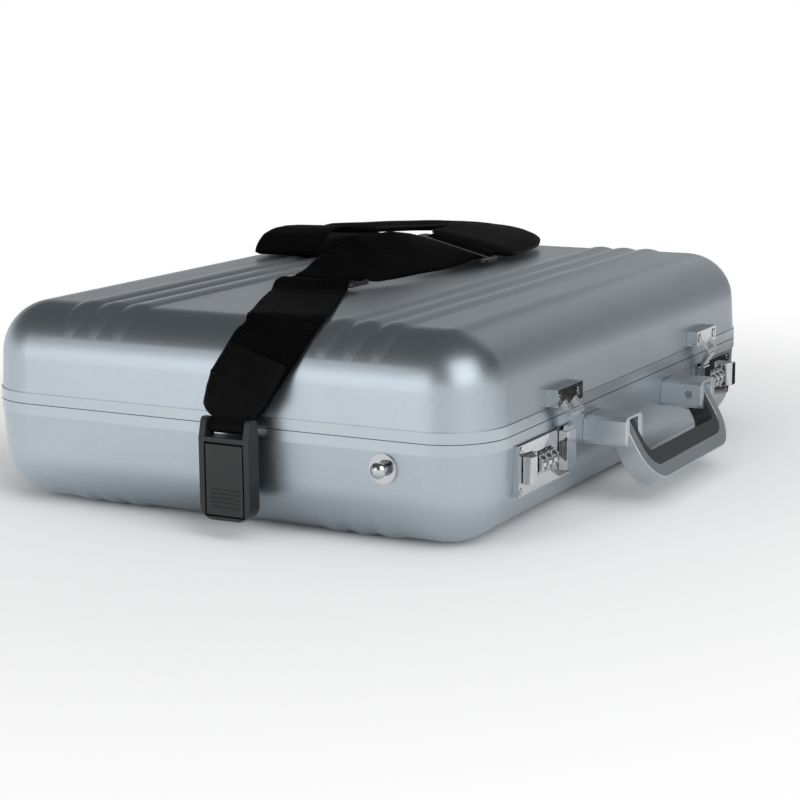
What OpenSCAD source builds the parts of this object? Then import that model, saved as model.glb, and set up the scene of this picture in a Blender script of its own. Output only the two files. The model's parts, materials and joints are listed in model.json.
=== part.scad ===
// Aluminium attache case with a loose shoulder strap.
// Origin: middle of the case in plan, on its resting face. Front (handle) is -Y, hinge is +Y, +Z is up.

/* [Case] */
// Length over the frame
case_l = 457; // [430:1:480]
// Depth over the frame, front to back
case_w = 350; // [330:1:380]
// Height of the base up to the split
base_h = 65; // [62:1:80]
// Height of the lid above the split
lid_h = 62; // [60:1:80]
// Plan radius of the corners, over the frame
corner_r = 38; // [38:1:50]
// Draft of the shell walls in degrees
draft = 3; // [1:0.5:4]
// Radius of the shoulder between wall and face
shoulder_r = 33; // [26:1:34]
// Thickness of the shell sheet
sheet_t = 1.4; // [1:0.1:2]

/* [Ribs] */
// Number of beads in one set
rib_count = 3; // [1:1:4]
// Spacing of the beads
rib_pitch = 18; // [14:1:20]
// Gap between neighbouring beads
rib_gap = 0.6; // [0.4:0.1:2]
// Height of a bead
rib_h = 1.5; // [0.8:0.1:2.5]
// Distance of the first bead's inner edge from the middle
rib_start = 62; // [50:1:75]
// How far a bead follows the end shoulder, in degrees
rib_turn = 66; // [50:1:75]

/* [Frame] */
// Visible height of each frame band
band_h = 6.5; // [6:0.5:9]
// How far the bands stand proud of the shells
band_step = 0.8; // [0.4:0.1:1.5]
// Thickness of the outer band of the lid frame
band_t = 2.4; // [2:0.1:3]
// Gap at the split between the two frames
split_gap = 0.5; // [0.3:0.1:1]
// Sideways clearance between band and tongue
tongue_gap = 0.4; // [0.3:0.05:0.8]
// Thickness of the tongue and of the inner flanges
tongue_t = 1.4; // [1:0.1:2]
// Height of the tongue above the split
tongue_h = 3.5; // [2:0.5:3.5]
// Height of the inner flange behind the shell
flange_h = 6; // [5:0.5:7]
// Width of the butt joint in the frame
joint_w = 0.3; // [0.2:0.1:0.6]
// Distance of the butt joint from the middle
joint_x = 123; // [110:1:130]
// Height of the seal
seal_h = 1.2; // [0.8:0.1:1.2]
// Spacing of the frame rivets along the long sides
rivet_pitch = 54; // [40:1:60]
// Radius of the rivet heads
rivet_r = 2.2; // [1.5:0.1:3]

/* [Liner] */
// Thickness of the padded liners
liner_t = 1.2; // [1:0.1:2]
// Thickness of the lid's document pocket
pocket_t = 3; // [2:0.5:5]
// Length of the document pocket
pocket_l = 350; // [300:5:370]
// Depth of the document pocket
pocket_w = 230; // [180:5:250]

/* [Hinge] */
// Distance of the pin from the back of the frame
hinge_out = 4; // [3.8:0.1:5]
// Radius of the hinge pin
hinge_pin_r = 1.2; // [1:0.1:1.5]
// Outer radius of the knuckles
knuckle_r = 2.6; // [2.4:0.1:3]
// Length of one knuckle
knuckle_l = 25; // [20:1:26]
// Number of knuckles
knuckles = 14; // [10:2:14]
// Thickness of a hinge leaf
leaf_t = 1; // [0.8:0.1:1.2]

/* [Latches] */
// Distance of the lock plate's middle from the middle of the case
latch_x = 144; // [136:1:148]
// Width of the lock plate
plate_w = 74; // [74:1:80]
// Height of the lock plate
plate_h = 30; // [28:1:31]
// Distance of the plate's front face from the frame's front
plate_out = 2; // [1.6:0.1:3]
// Radius of a number dial
dial_r = 6.5; // [6:0.1:6.7]
// Width of a number dial
dial_w = 6.6; // [5:0.1:6.8]
// Spacing of the dials
dial_pitch = 8; // [7.8:0.1:8.4]
// Radius of the dial spindle
spindle_r = 1.5; // [1:0.1:2]
// Width of the hasp
hasp_w = 13; // [11:0.5:14]
// Thickness of the hasp's sheet
hasp_t = 1.8; // [1.4:0.1:2.2]
// Depth of the hasp, front to back
hasp_deep = 5.6; // [5:0.1:6.5]
// Distance of the hasp's middle from the middle of the case
hasp_x = 119; // [118:0.5:120]
// Width of the striker block on the lid
striker_w = 37; // [30:1:38]
// Radius of the hasp pin
hasp_pin_r = 1; // [0.8:0.1:1.2]
// Travel of the thumb slide
slide_travel = 3.5; // [2:0.5:3.5]

/* [Handle] */
// Distance of a handle mount's outer face from the middle of the case
mount_x = 80; // [70:1:85]
// Width of a handle mount
mount_w = 27; // [26:1:30]
// Height of a handle mount
mount_h = 18; // [17:0.5:20]
// Distance of the mount's end from the frame's front
mount_out = 27; // [25:1:32]
// Distance of the handle pivot from the frame's front
pivot_out = 18; // [17:0.5:20]
// Radius of the handle pivot pins
handle_pin_r = 2.5; // [2:0.1:3]
// Distance of the grip's outer face from the pivot
grip_reach = 40; // [38:1:46]
// Thickness of the metal bail
bail_t = 9; // [7:0.5:10]
// Thickness of the soft grip insert
insert_t = 10; // [6:0.5:12]
// Width of the bail, square to its own plane
bail_w = 14; // [10:0.5:16]
// Angle at which the bail hangs below the straight-out position
hang = 60; // [50:1:65]

/* [Strap] */
// Width of the webbing
web_w = 50; // [38:1:50]
// Thickness of the webbing
web_t = 2; // [1.6:0.1:2.5]
// Thickness of the shoulder pad
pad_t = 8; // [6:0.5:8]
// Width of the shoulder pad
pad_w = 66; // [60:1:75]
// Width of a strap clip
clip_w = 34; // [30:1:38]
// Length of a strap clip
clip_l = 60; // [50:1:65]
// Thickness of a strap clip
clip_t = 11; // [9:0.5:14]
// Distance of the strap posts below the parting line
post_drop = 16.5; // [16:0.5:19]
// Distance of the strap posts from the middle, towards the front
post_y = 114; // [90:1:120]
// Radius of a strap post's flange
post_flange_r = 8.7; // [8:0.1:9]
// Radius of a strap post's stem
post_stem_r = 3; // [2.5:0.1:4]
// Radius of a strap post's head
post_head_r = 4.7; // [4:0.1:5.5]

/* [Hidden] */
$fn = 96;

// Overall height and the middles of the plan's corner arcs
case_h = base_h + lid_h;
side_x = case_l / 2 - corner_r;
side_y = case_w / 2 - corner_r;
front_y = -case_w / 2;
back_y = case_w / 2;
// Rims where each shell meets its frame band, measured from that shell's own face side
base_rim = base_h - split_gap / 2 - band_h;
lid_rim = lid_h - split_gap / 2 - band_h;
// Plan radius of a shell at its rim
shell_r = corner_r - band_step;
// Inner edges of the frames, measured inwards from their outer face
tongue_in = band_t + tongue_gap + tongue_t;
flange_out = band_step + sheet_t / cos(draft) + flange_h * tan(draft) + 0.1;
flange_in = flange_out + tongue_t;
frame_in = max(tongue_in, flange_in);
// Smallest step used where two surfaces would only touch
hair = 0.02;
// Clearances: between bodies, in running bores and in fixed bores
touch = 0.3;
run = 0.05;
seat = 0.02;
// Beads
bead_w = rib_pitch - rib_gap;
bead_sink = 0.4;
// Radius on which the beads run down the end shoulders and sink into the sheet by rib_turn
dive_r = shoulder_r - rib_h / (1 - cos(rib_turn));
dive_sink = 0.1;
// How far its round stands above the flat that is cut along its crest
bead_proud = 0.05;
bead_rise = rib_h + 0.1 + bead_proud;
bead_r = (bead_w * bead_w / 4 + bead_rise * bead_rise) / (2 * bead_rise);
// Liners
liner_inset = max(sheet_t + 0.4, rib_h + 0.3);
// Half the length of a hinge leaf
leaf_half = knuckles * knuckle_l / 2 + 3.5;
// Distance of the lock plate's screws from its edges
screw_in = 3;
// Height of the strap posts
post_z = base_h - post_drop;
// Rivet heads
rivet_head = 0.6;
// Where a swept wall's flat foot starts, outwards from a corner's middle
flat_edge = 0.5;
// Lock: dials, their housing and the window in the shell behind them
dial_mid = -3;
dial_y = front_y - plate_out + 0.5;
dial_z = base_rim - flange_h - dial_r - 2.5;
dial_room = dial_r + 0.5;
housing_half = dial_pitch + dial_w / 2 + touch + 1.8;
housing_back = dial_y + dial_r + 2;
slide_mid = -24.5;
slide_w = 16.5;
slide_h = 16.4;
slide_out = 6.4;
stem_w = 6;
stem_h = 8;
stem_gap = 0.3;
window_left = slide_mid - stem_w / 2 - slide_travel - 5;
plate_top = base_rim - 0.4;
// Hasp hinge on the lid
barrel_y = front_y - 10;
barrel_z = case_h - lid_rim - 3.3;
barrel_r = 2.3;
knuckle_half = 5.5;
hasp_top = plate_top - 1;
hasp_low = plate_top - 24.5;
hasp_back = front_y - plate_out - 0.4;
striker_low = case_h - lid_rim + 1.3;
striker_h = 10.5;
striker_out = 7;
// Handle
mount_edge = 2.4;
pivot_y = front_y - pivot_out;
pivot_z = base_rim - 0.3 - mount_h / 2;
arm_out = mount_x - 6.4;
arm_insert = 5.2;
arm_in = arm_out - bail_t - arm_insert;
bail_corner = 24;
slot_out = arm_out + touch;
slot_in = arm_in - touch;
// Strap clips
clip_z = 12;
clip_x = case_l / 2 + 8;
ear_h = 11;
clip_body_h = clip_l - ear_h;
clip_y_left = -20;
clip_y_right = 141;
bar_r = 2;
bar_z = clip_z + clip_l - 5.5;
bar_x = clip_x + 4.5;
tongue_w = clip_w - 9;
tongue_len = clip_body_h - 6;
tongue_d = 3.2;
press_gap = 1;
tab_t = 1.6;
// Middle of the lid's end shoulder arcs
end_x = side_x + arc_x(lid_rim);
end_z = case_h - rib_h - shoulder_r;

// Middle of the shoulder arc, outwards from a corner's middle, for a shell with this rim height
function arc_x(rim) = shell_r - (shoulder_r + (rim - rib_h - shoulder_r) * sin(draft)) / cos(draft);

// Closed region from the flat face's edge to one side of the sheet; inset 0 is the outside.
// The wall starts a hair inside the shoulder's arc, so that the two cross cleanly.
module wall_region(rim, inset, top) {
    r = shoulder_r - inset;
    face = rib_h + inset;
    cx = arc_x(rim);
    tx = cx + r * cos(draft) - hair;
    tz = face + r - r * sin(draft);
    polygon([[cx, tz], [tx, tz], [tx + (top - tz) * tan(draft), top], [cx, top]]);
    intersection() {
        translate([cx, face + r]) circle(r);
        translate([cx, face]) square(r);
    }
    polygon([[flat_edge, face], [cx, face], [cx, top], [flat_edge, top]]);
}

// One straight side of a profile drawn outwards from the corner's middle
module side_run(turn, reach, half) {
    rotate([0, 0, turn]) translate([reach, 0, 0]) rotate([90, 0, 0])
        linear_extrude(2 * half, center = true) children();
}

// Sweeps a profile, drawn outwards from a corner's middle, round the plan
module around() {
    for (k = [0:3])
        translate([(k == 0 || k == 3) ? side_x : -side_x, k < 2 ? side_y : -side_y, 0])
            rotate([0, 0, 90 * k]) rotate_extrude(angle = 90) children();
    for (s = [0, 180]) {
        side_run(s, side_x, side_y) children();
        side_run(s + 90, side_y, side_x) children();
    }
}

// One bead's section: across is x, outwards from the sheet is y
module bead_section(sink) {
    intersection() {
        translate([0, rib_h + bead_proud - bead_r]) circle(bead_r);
        translate([-bead_w / 2, -sink]) square([bead_w, rib_h + sink]);
    }
}

// One bead along the face and down both end shoulders, for a case half lying on its face
module bead(rim) {
    flat = arc_x(rim);
    translate([0, 0, rib_h]) rotate([-90, 0, 90])
        linear_extrude(2 * side_x, center = true) bead_section(bead_sink);
    for (m = [0, 1]) mirror([m, 0, 0]) translate([side_x, 0, 0]) {
        translate([0, 0, rib_h]) rotate([-90, 0, 90]) rotate([0, 180, 0])
            linear_extrude(flat) bead_section(bead_sink);
        translate([flat, 0, rib_h + dive_r]) rotate([90, 90, 0])
            rotate_extrude(angle = rib_turn + 2) translate([dive_r, 0]) rotate(-90)
                bead_section(dive_sink);
    }
}

// A drawn sheet of this thickness, set in from the outside, lying on its face
module drawn_sheet(rim, inset, thick, top) {
    around() difference() {
        wall_region(rim, inset, top);
        wall_region(rim, inset + thick, top + 1);
    }
    // Flat face, with its own small corners
    flat = (flat_edge + arc_x(rim)) / 2;
    translate([0, 0, rib_h + inset]) linear_extrude(thick) union() {
        square([2 * (side_x + flat), 2 * side_y], center = true);
        square([2 * side_x, 2 * (side_y + flat)], center = true);
        for (x = [-side_x, side_x], y = [-side_y, side_y]) translate([x, y]) circle(flat);
    }
}

module shell(rim) {
    drawn_sheet(rim, 0, sheet_t, rim);
    for (side = [-1, 1], i = [0:rib_count - 1])
        translate([0, side * (rib_start + rib_pitch * (i + 0.5)), 0]) bead(rim);
}

// Filled space behind the front wall or an end wall, to seat fittings on
module front_space(rim) {
    side_run(-90, side_y, side_x) wall_region(rim, 0, rim);
}

module end_space(rim) {
    side_run(180, side_x, side_y) wall_region(rim, 0, rim);
}

// Turns a case half that lies on its face into the lid's place
module as_lid() {
    translate([0, 0, case_h]) mirror([0, 0, 1]) children();
}

// Children are drawn for the left side; 1 mirrors them to the right
module on_side(side) {
    mirror([side, 0, 0]) children();
}

// Plan of the case set in by this much
module plan(inset) {
    square([case_l - 2 * inset, 2 * side_y], center = true);
    square([2 * side_x, case_w - 2 * inset], center = true);
    for (x = [-side_x, side_x], y = [-side_y, side_y]) translate([x, y]) circle(corner_r - inset);
}

// Ring between two insets, from one height to another
module ring(outer, inner, z0, z1) {
    translate([0, 0, z0]) linear_extrude(z1 - z0) difference() {
        plan(outer);
        plan(inner);
    }
}

// Cylinder along X from x0 to x1
module rod_x(x0, x1, r) {
    translate([x0, 0, 0]) rotate([0, 90, 0]) cylinder(r = r, h = x1 - x0);
}

// Box centred in X and Z, from y0 to y1
module block(w, y0, y1, h) {
    translate([-w / 2, y0, -h / 2]) cube([w, y1 - y0, h]);
}

// Butt joint in a frame band
module joint_cut(z) {
    translate([-joint_x - joint_w / 2, front_y - 1, z - 1]) cube([joint_w, 1.6, band_h + 2]);
}

// Shells and frames

module base_shell() {
    color("lightslategray") difference() {
        shell(base_rim);
        for (s = [0, 1]) on_side(s) lock_window(0);
    }
}

module lid_shell() {
    color("lightslategray") as_lid() shell(lid_rim);
}

module base_frame() {
    top = base_h - split_gap / 2;
    color("silver") difference() {
        union() {
            ring(0, frame_in, base_rim, top);
            ring(tongue_in - tongue_t, tongue_in, top, base_h + tongue_h);
            ring(flange_out, flange_in, base_rim - flange_h, base_rim);
        }
        joint_cut(base_rim);
    }
}

module lid_frame() {
    low = base_h + split_gap / 2;
    seal_top = base_h + tongue_h + touch + seal_h;
    color("silver") difference() {
        union() {
            ring(0, band_t, low, low + band_h);
            ring(band_t, frame_in, seal_top, low + band_h);
            ring(flange_out, flange_in, low + band_h, low + band_h + flange_h);
        }
        joint_cut(low);
    }
}

module lid_seal() {
    z = base_h + tongue_h + touch;
    color("dimgray") ring(band_t + 0.1, frame_in - 0.1, z, z + seal_h);
}

module rivet_row(z) {
    n = floor((side_x - 10) / rivet_pitch);
    for (m = [-1, 1], i = [-n:n])
        translate([i * rivet_pitch, m * (back_y - flange_in), z]) rotate([m * 90, 0, 0])
            cylinder(r = rivet_r, h = rivet_head);
}

module base_rivets() {
    color("gainsboro") rivet_row(base_rim - flange_h / 2);
}

module lid_rivets() {
    color("gainsboro") rivet_row(case_h - lid_rim + flange_h / 2);
}

// Liners

module base_liner() {
    color("dimgray") difference() {
        drawn_sheet(base_rim, liner_inset, liner_t, base_rim - flange_h - 0.5);
        for (s = [0, 1]) on_side(s) lock_window(0.6);
    }
}

module lid_liner() {
    color("dimgray") as_lid() drawn_sheet(lid_rim, liner_inset, liner_t, lid_rim - flange_h - 0.5);
}

module lid_pocket() {
    top = case_h - rib_h - liner_inset - liner_t;
    color("black") translate([0, 0, top - pocket_t]) linear_extrude(pocket_t) union() {
        square([pocket_l - 24, pocket_w], center = true);
        square([pocket_l, pocket_w - 24], center = true);
        for (x = [-1, 1], y = [-1, 1])
            translate([x * (pocket_l / 2 - 12), y * (pocket_w / 2 - 12)]) circle(12);
    }
}

// Hinge

module hinge_knuckle(i) {
    gap = 0.3;
    long = knuckles * knuckle_l + (knuckles - 1) * gap;
    translate([-long / 2 + i * (knuckle_l + gap), 0, 0]) children();
}

module hinge_leaf(first, dir) {
    axis_y = back_y + hinge_out;
    color("silver") difference() {
        union() {
            for (i = [first:2:knuckles - 1]) hinge_knuckle(i) {
                translate([0, axis_y, base_h]) rod_x(0, knuckle_l, knuckle_r);
            }
            for (i = [first:2:knuckles - 1]) hinge_knuckle(i)
                translate([0, back_y + leaf_t / 2, base_h + (dir > 0 ? 0.5 : -knuckle_r)])
                    cube([knuckle_l, hinge_out - leaf_t / 2, knuckle_r - 0.5]);
            translate([-leaf_half, back_y, base_h + (dir > 0 ? 0.5 : 0.1 - band_h)])
                cube([2 * leaf_half, leaf_t, band_h - 0.6]);
        }
        translate([0, axis_y, base_h]) rod_x(-case_l, case_l, hinge_pin_r + run);
    }
}

module hinge_base_leaf() {
    hinge_leaf(0, -1);
}

module hinge_lid_leaf() {
    hinge_leaf(1, 1);
}

module hinge_pin() {
    half = knuckles * (knuckle_l + 0.3) / 2;
    color("gray") translate([0, back_y + hinge_out, base_h]) rod_x(-half, half, hinge_pin_r);
}

// Locks, drawn for the left side

// Hole through shell or liner for the dial housing and the slide's stem
module lock_window(extra) {
    w = housing_half + dial_mid - window_left + 0.4;
    translate([-latch_x + window_left - extra, front_y - 1, dial_z - dial_room - 1.4 - extra])
        cube([w + 2 * extra, 20, 2 * (dial_room + 1.4 + extra)]);
}

module lock_plate(side) {
    face = front_y - plate_out;
    plate_mid = plate_top - plate_h / 2;
    color("gainsboro") on_side(side) difference() {
        union() {
            difference() {
                translate([-latch_x - plate_w / 2, face, plate_top - plate_h]) cube([plate_w, 12, plate_h]);
                front_space(base_rim);
            }
            translate([-latch_x + dial_mid, 0, dial_z])
                block(2 * housing_half, face + 1, housing_back, 2 * (dial_room + 1));
        }
        // One slot for each dial
        for (i = [-1:1])
            translate([-latch_x + dial_mid + i * dial_pitch, 0, dial_z])
                block(dial_w + 2 * touch, face - 1, housing_back - 1.2, 2 * dial_room);
        // Spindle bore
        translate([-latch_x + dial_mid, dial_y, dial_z]) rod_x(-30, housing_half - 1, spindle_r + seat);
        // Slot for the slide's stem
        translate([-latch_x + slide_mid - slide_travel / 2, 0, dial_z])
            block(stem_w + slide_travel + 2 * stem_gap, face - 1, housing_back, stem_h + 2 * stem_gap);
        // Notch for the hasp's staple, open at the top
        translate([-hasp_x - 4, face - 1, hasp_low + 8]) cube([8, 2.6, plate_top]);
        // Screw seats
        for (x = [-1, 1], z = [-1, 1])
            translate([-latch_x + x * (plate_w / 2 - screw_in), face, plate_mid])
                translate([0, 0, z * (plate_h / 2 - screw_in)])
                    rotate([90, 0, 0]) cylinder(r = 2.3, h = 1.6, center = true);
    }
}

module lock_screws() {
    face = front_y - plate_out;
    plate_mid = plate_top - plate_h / 2;
    color("white") for (s = [0, 1], x = [-1, 1], z = [-1, 1]) on_side(s)
        translate([-latch_x + x * (plate_w / 2 - screw_in), face, plate_mid])
            translate([0, 0, z * (plate_h / 2 - screw_in)]) rotate([90, 0, 0]) difference() {
                translate([0, 0, -0.8]) cylinder(r = 2.2, h = 1.3);
                rotate([0, 0, 40 * x + 10 * z]) translate([-3, -0.3, 0.1]) cube([6, 0.6, 1]);
            }
}

module thumb_slide(side) {
    face = front_y - plate_out - touch;
    color("white") on_side(side) translate([-latch_x + slide_mid, 0, dial_z]) {
        difference() {
            block(slide_w, face - slide_out, face, slide_h);
            translate([slide_w / 2 - 1.7, face - 10.6, -slide_h]) cylinder(r = 9, h = 2 * slide_h);
        }
        // Stem through the plate, and its foot behind
        block(stem_w, face - 0.5, front_y + 3.6, stem_h);
        block(stem_w + 2.6, front_y + 2.5, front_y + 3.9, stem_h + 4);
    }
}

module dial(side, i) {
    grooves = 10;
    color("whitesmoke") on_side(side)
        translate([-latch_x + dial_mid + (i - 2) * dial_pitch, dial_y, dial_z]) difference() {
            rod_x(-dial_w / 2, dial_w / 2, dial_r);
            rod_x(-dial_w, dial_w, spindle_r + run);
            for (k = [0:grooves - 1]) rotate([k * 360 / grooves + 18, 0, 0])
                translate([-dial_w, -0.45, dial_r - 0.6]) cube([2 * dial_w, 0.9, 2]);
        }
}

module dial_spindle(side) {
    color("gray") on_side(side) translate([-latch_x + dial_mid, dial_y, dial_z])
        rod_x(-housing_half + 0.3, housing_half - 1.2, spindle_r);
}

// Lid half of the latch, drawn for the left side

module striker(side) {
    w = knuckle_half + touch;
    color("gainsboro") on_side(side) difference() {
        union() {
            difference() {
                translate([-hasp_x - striker_w / 2, front_y - striker_out, striker_low])
                    cube([striker_w, striker_out + 12, striker_h]);
                as_lid() front_space(lid_rim);
            }
            for (x = [-w - 3.7, w]) translate([-hasp_x + x, 0, 0]) {
                translate([0, barrel_y, barrel_z]) rod_x(0, 3.7, barrel_r);
                rotate([90, 0, 90]) linear_extrude(3.7) polygon([
                    [barrel_y, barrel_z - barrel_r + 0.1], [barrel_y + 2, barrel_z - 1],
                    [barrel_y + 5.5, striker_low + 1], [barrel_y + 3, striker_low + 3],
                    [barrel_y - barrel_r + 0.2, barrel_z]]);
            }
        }
        translate([-hasp_x, barrel_y, barrel_z]) rod_x(-20, 20, hasp_pin_r + seat);
        for (x = [-1, 1])
            translate([-hasp_x + x * (striker_w / 2 - 4.6), front_y - striker_out, striker_low + 5.6])
                rotate([90, 0, 0]) cylinder(r = 3.1, h = 1.6, center = true);
    }
}

module striker_screws() {
    color("white") for (s = [0, 1], x = [-1, 1]) on_side(s)
        translate([-hasp_x + x * (striker_w / 2 - 4.6), front_y - striker_out, striker_low + 5.6])
            rotate([90, 0, 0]) difference() {
                translate([0, 0, -0.8]) cylinder(r = 3, h = 1.4);
                rotate([0, 0, 75 - 20 * x]) translate([-4, -0.4, 0.1]) cube([8, 0.8, 1]);
            }
}

module hasp(side) {
    front = hasp_back - hasp_deep;
    w = 2 * knuckle_half;
    color("white") on_side(side) translate([-hasp_x, 0, 0]) difference() {
        union() {
            // Cover
            difference() {
                translate([-hasp_w / 2, front, hasp_low]) cube([hasp_w, hasp_deep, hasp_top - hasp_low]);
                translate([-hasp_w / 2 + hasp_t, front + hasp_t, hasp_low + hasp_t])
                    cube([hasp_w - 2 * hasp_t, hasp_deep, hasp_top - hasp_low - 2 * hasp_t]);
            }
            // Staple that enters the plate's notch
            translate([-2.5, front + hasp_t - 0.1, hasp_low + 10])
                cube([5, hasp_deep - hasp_t + 0.4 + 1.3, 4]);
            // Curved neck up to the barrel
            translate([-w / 2, 0, 0]) rotate([90, 0, 90]) linear_extrude(w) polygon([
                [front + 0.6, hasp_top - 2], [front + 2.6, hasp_top - 2], [front + 3.2, hasp_top + 1.5],
                [front + 2.6, hasp_top + 4], [front + 1.2, barrel_z - 3.4], [barrel_y + 2, barrel_z - 1],
                [barrel_y, barrel_z], [barrel_y - barrel_r + 0.1, barrel_z], [barrel_y - 1.2, barrel_z - 3],
                [front + 0.5, hasp_top + 3.6], [front + 1.1, hasp_top + 1.2]]);
            translate([0, barrel_y, barrel_z]) rod_x(-w / 2, w / 2, barrel_r);
        }
        translate([0, barrel_y, barrel_z]) rod_x(-w, w, hasp_pin_r + run);
    }
}

module hasp_pin(side) {
    half = knuckle_half + touch + 3.7;
    color("gray") on_side(side) translate([-hasp_x, barrel_y, barrel_z]) rod_x(-half, half, hasp_pin_r);
}

// Handle

// Rectangle about the middle with cut corners
module chamfered(w, h, c) {
    polygon([
        [-w / 2 + c, -h / 2], [w / 2 - c, -h / 2], [w / 2, -h / 2 + c], [w / 2, h / 2 - c],
        [w / 2 - c, h / 2], [-w / 2 + c, h / 2], [-w / 2, h / 2 - c], [-w / 2, -h / 2 + c]]);
}

module handle_mount(side) {
    low = pivot_z - mount_h / 2;
    eye = bail_w / 2;
    slot_deep = mount_out + 1.2 - pivot_out + eye + touch;
    color("silver") on_side(side) difference() {
        translate([-mount_x + mount_w / 2, front_y - mount_out, pivot_z]) rotate([-90, 0, 0])
            linear_extrude(mount_out + 12) chamfered(mount_w, mount_h, mount_edge);
        front_space(base_rim);
        // Slot for the arm, closed above
        translate([-slot_out, front_y - mount_out - 1, low - 1])
            cube([slot_out - slot_in, slot_deep, mount_h / 2 + 1 + eye + touch]);
        translate([0, pivot_y, pivot_z]) rod_x(-mount_x + 1.4, -mount_x + mount_w + 1, handle_pin_r + seat);
    }
}

module handle_pin(side) {
    color("gray") on_side(side) translate([0, pivot_y, pivot_z])
        rod_x(-mount_x + 1.5, -mount_x + mount_w, handle_pin_r);
}

// Round-ended U region from the pivot line outwards
module bow(half, reach, r) {
    translate([-half, 0]) square([2 * half, reach - r]);
    translate([-half + r, 0]) square([2 * (half - r), reach]);
    for (s = [0, 1]) mirror([s, 0, 0]) intersection() {
        translate([half - r, reach - r]) circle(r);
        translate([half - r, reach - r]) square(r);
    }
}

// Places a U drawn in plan so that it hangs from the pivots
module hung() {
    translate([0, pivot_y, pivot_z]) rotate([hang, 0, 0]) mirror([0, 1, 0]) children();
}

module handle_bail() {
    color("silver") hung() difference() {
        union() {
            translate([0, 0, -bail_w / 2]) linear_extrude(bail_w) difference() {
                bow(arm_out, grip_reach, bail_corner);
                translate([0, -1]) bow(arm_out - bail_t, grip_reach - bail_t + 1, bail_corner - bail_t);
            }
            for (s = [0, 1]) on_side(s) rod_x(-arm_out, -arm_out + bail_t, bail_w / 2);
        }
        rod_x(-case_l, case_l, handle_pin_r + run);
    }
}

module grip_insert() {
    reach = grip_reach - bail_t;
    color("dimgray") hung() difference() {
        union() {
            translate([0, 0, -bail_w / 2]) linear_extrude(bail_w) difference() {
                bow(arm_out - bail_t, reach, bail_corner - bail_t);
                translate([0, -1]) bow(arm_in, reach - insert_t + 1, bail_corner - bail_t - 7);
            }
            for (s = [0, 1]) on_side(s) rod_x(-arm_out + bail_t, -arm_in, bail_w / 2);
        }
        rod_x(-case_l, case_l, handle_pin_r + run);
    }
}

// Strap posts

module strap_post(side) {
    wall = case_l / 2 - band_step - (base_rim - post_z) * tan(draft);
    color("white") on_side(side) difference() {
        translate([-wall, -post_y, post_z]) rotate([0, -90, 0]) rotate_extrude() {
            translate([0, -6]) square([post_flange_r, 7.6]);
            square([post_stem_r, 6]);
            intersection() {
                translate([0, 5.6]) square([post_head_r, post_head_r - 0.4]);
                translate([0, 4.6]) circle(post_head_r * 1.15);
            }
        }
        end_space(base_rim);
    }
}

// Strap clips, drawn for the left end about y = 0

module strap_clip(side, y) {
    lip = 2.4;
    floor_x = clip_x + clip_t - tongue_d - 1;
    key_z = clip_z + 14;
    color("dimgray") on_side(side) translate([0, y, 0]) difference() {
        union() {
            translate([-clip_x - clip_t, -clip_w / 2, clip_z]) cube([clip_t, clip_w, clip_body_h]);
            for (s = [-1, 1]) translate([0, s * (clip_w / 2 - 2) + 2, clip_z + clip_body_h])
                rotate([90, 0, 0]) linear_extrude(4) polygon([
                    [-clip_x - clip_t, -1], [-clip_x, -1], [-clip_x, 1], [-bar_x + 3.2, ear_h - 1.5],
                    [-bar_x + 1.6, ear_h], [-bar_x - 2.4, ear_h], [-bar_x - 4, ear_h - 2]]);
            translate([-bar_x, 0, bar_z]) rotate([90, 0, 0])
                cylinder(r = bar_r, h = clip_w - 2, center = true);
        }
        // Recess for the tongue
        translate([-clip_x - clip_t - 1, -tongue_w / 2 - press_gap, clip_z + 3 - press_gap])
            cube([clip_t + 1 + clip_x - floor_x, tongue_w + 2 * press_gap, tongue_len + touch + press_gap]);
        translate([-clip_x - clip_t + 1.9, 0, clip_z + 3 + tongue_len - 2.5]) rotate([90, 0, 0])
            cylinder(r = 1.2 + run, h = tongue_w + 5, center = true);
        // Keyhole for the post: mouth, neck and the room behind them
        translate([-floor_x - 1, 0, key_z]) rotate([0, 90, 0]) cylinder(r = post_head_r + 0.5, h = 20);
        translate([-floor_x - 1, -post_stem_r - 0.3, key_z]) cube([20, 2 * post_stem_r + 0.6, 14]);
        translate([-floor_x - 1, -post_head_r - 0.5, key_z])
            cube([floor_x + 1 - clip_x - lip, 2 * post_head_r + 1, 18]);
    }
}

module clip_tongue(side, y) {
    outer = clip_x + clip_t;
    color("darkslategray") on_side(side) translate([-outer, y, clip_z + 3]) {
        translate([0, -tongue_w / 2, 0]) cube([tongue_d, tongue_w, tongue_len - 5]);
        translate([0, -tongue_w / 2, tongue_len - 5.5]) cube([tongue_d, tongue_w, 4.5]);
        translate([1.9, 0, tongue_len - 2.5]) rotate([90, 0, 0])
            cylinder(r = 1.2, h = tongue_w + 4, center = true);
        for (k = [0:4]) translate([-0.6, -tongue_w / 2 + 3, 4 + 2.6 * k]) cube([1, tongue_w - 6, 1.2]);
    }
}

// Webbing: stations are [point, direction across, width]; lift moves the band off its path

function unit(v) = v / norm(v);
function station_dir(s, i) = unit(s[min(i + 1, len(s) - 1)][0] - s[max(i - 1, 0)][0]);
function station_up(s, i) = unit(cross(station_dir(s, i), s[i][1]));
function corners(s, i, thick, lift) = let (
    a = unit(s[i][1]) * s[i][2] / 2,
    n = station_up(s, i),
    t = n * (lift + thick / 2),
    b = n * (lift - thick / 2))
    [s[i][0] + a + t, s[i][0] - a + t, s[i][0] - a + b, s[i][0] + a + b];

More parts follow.
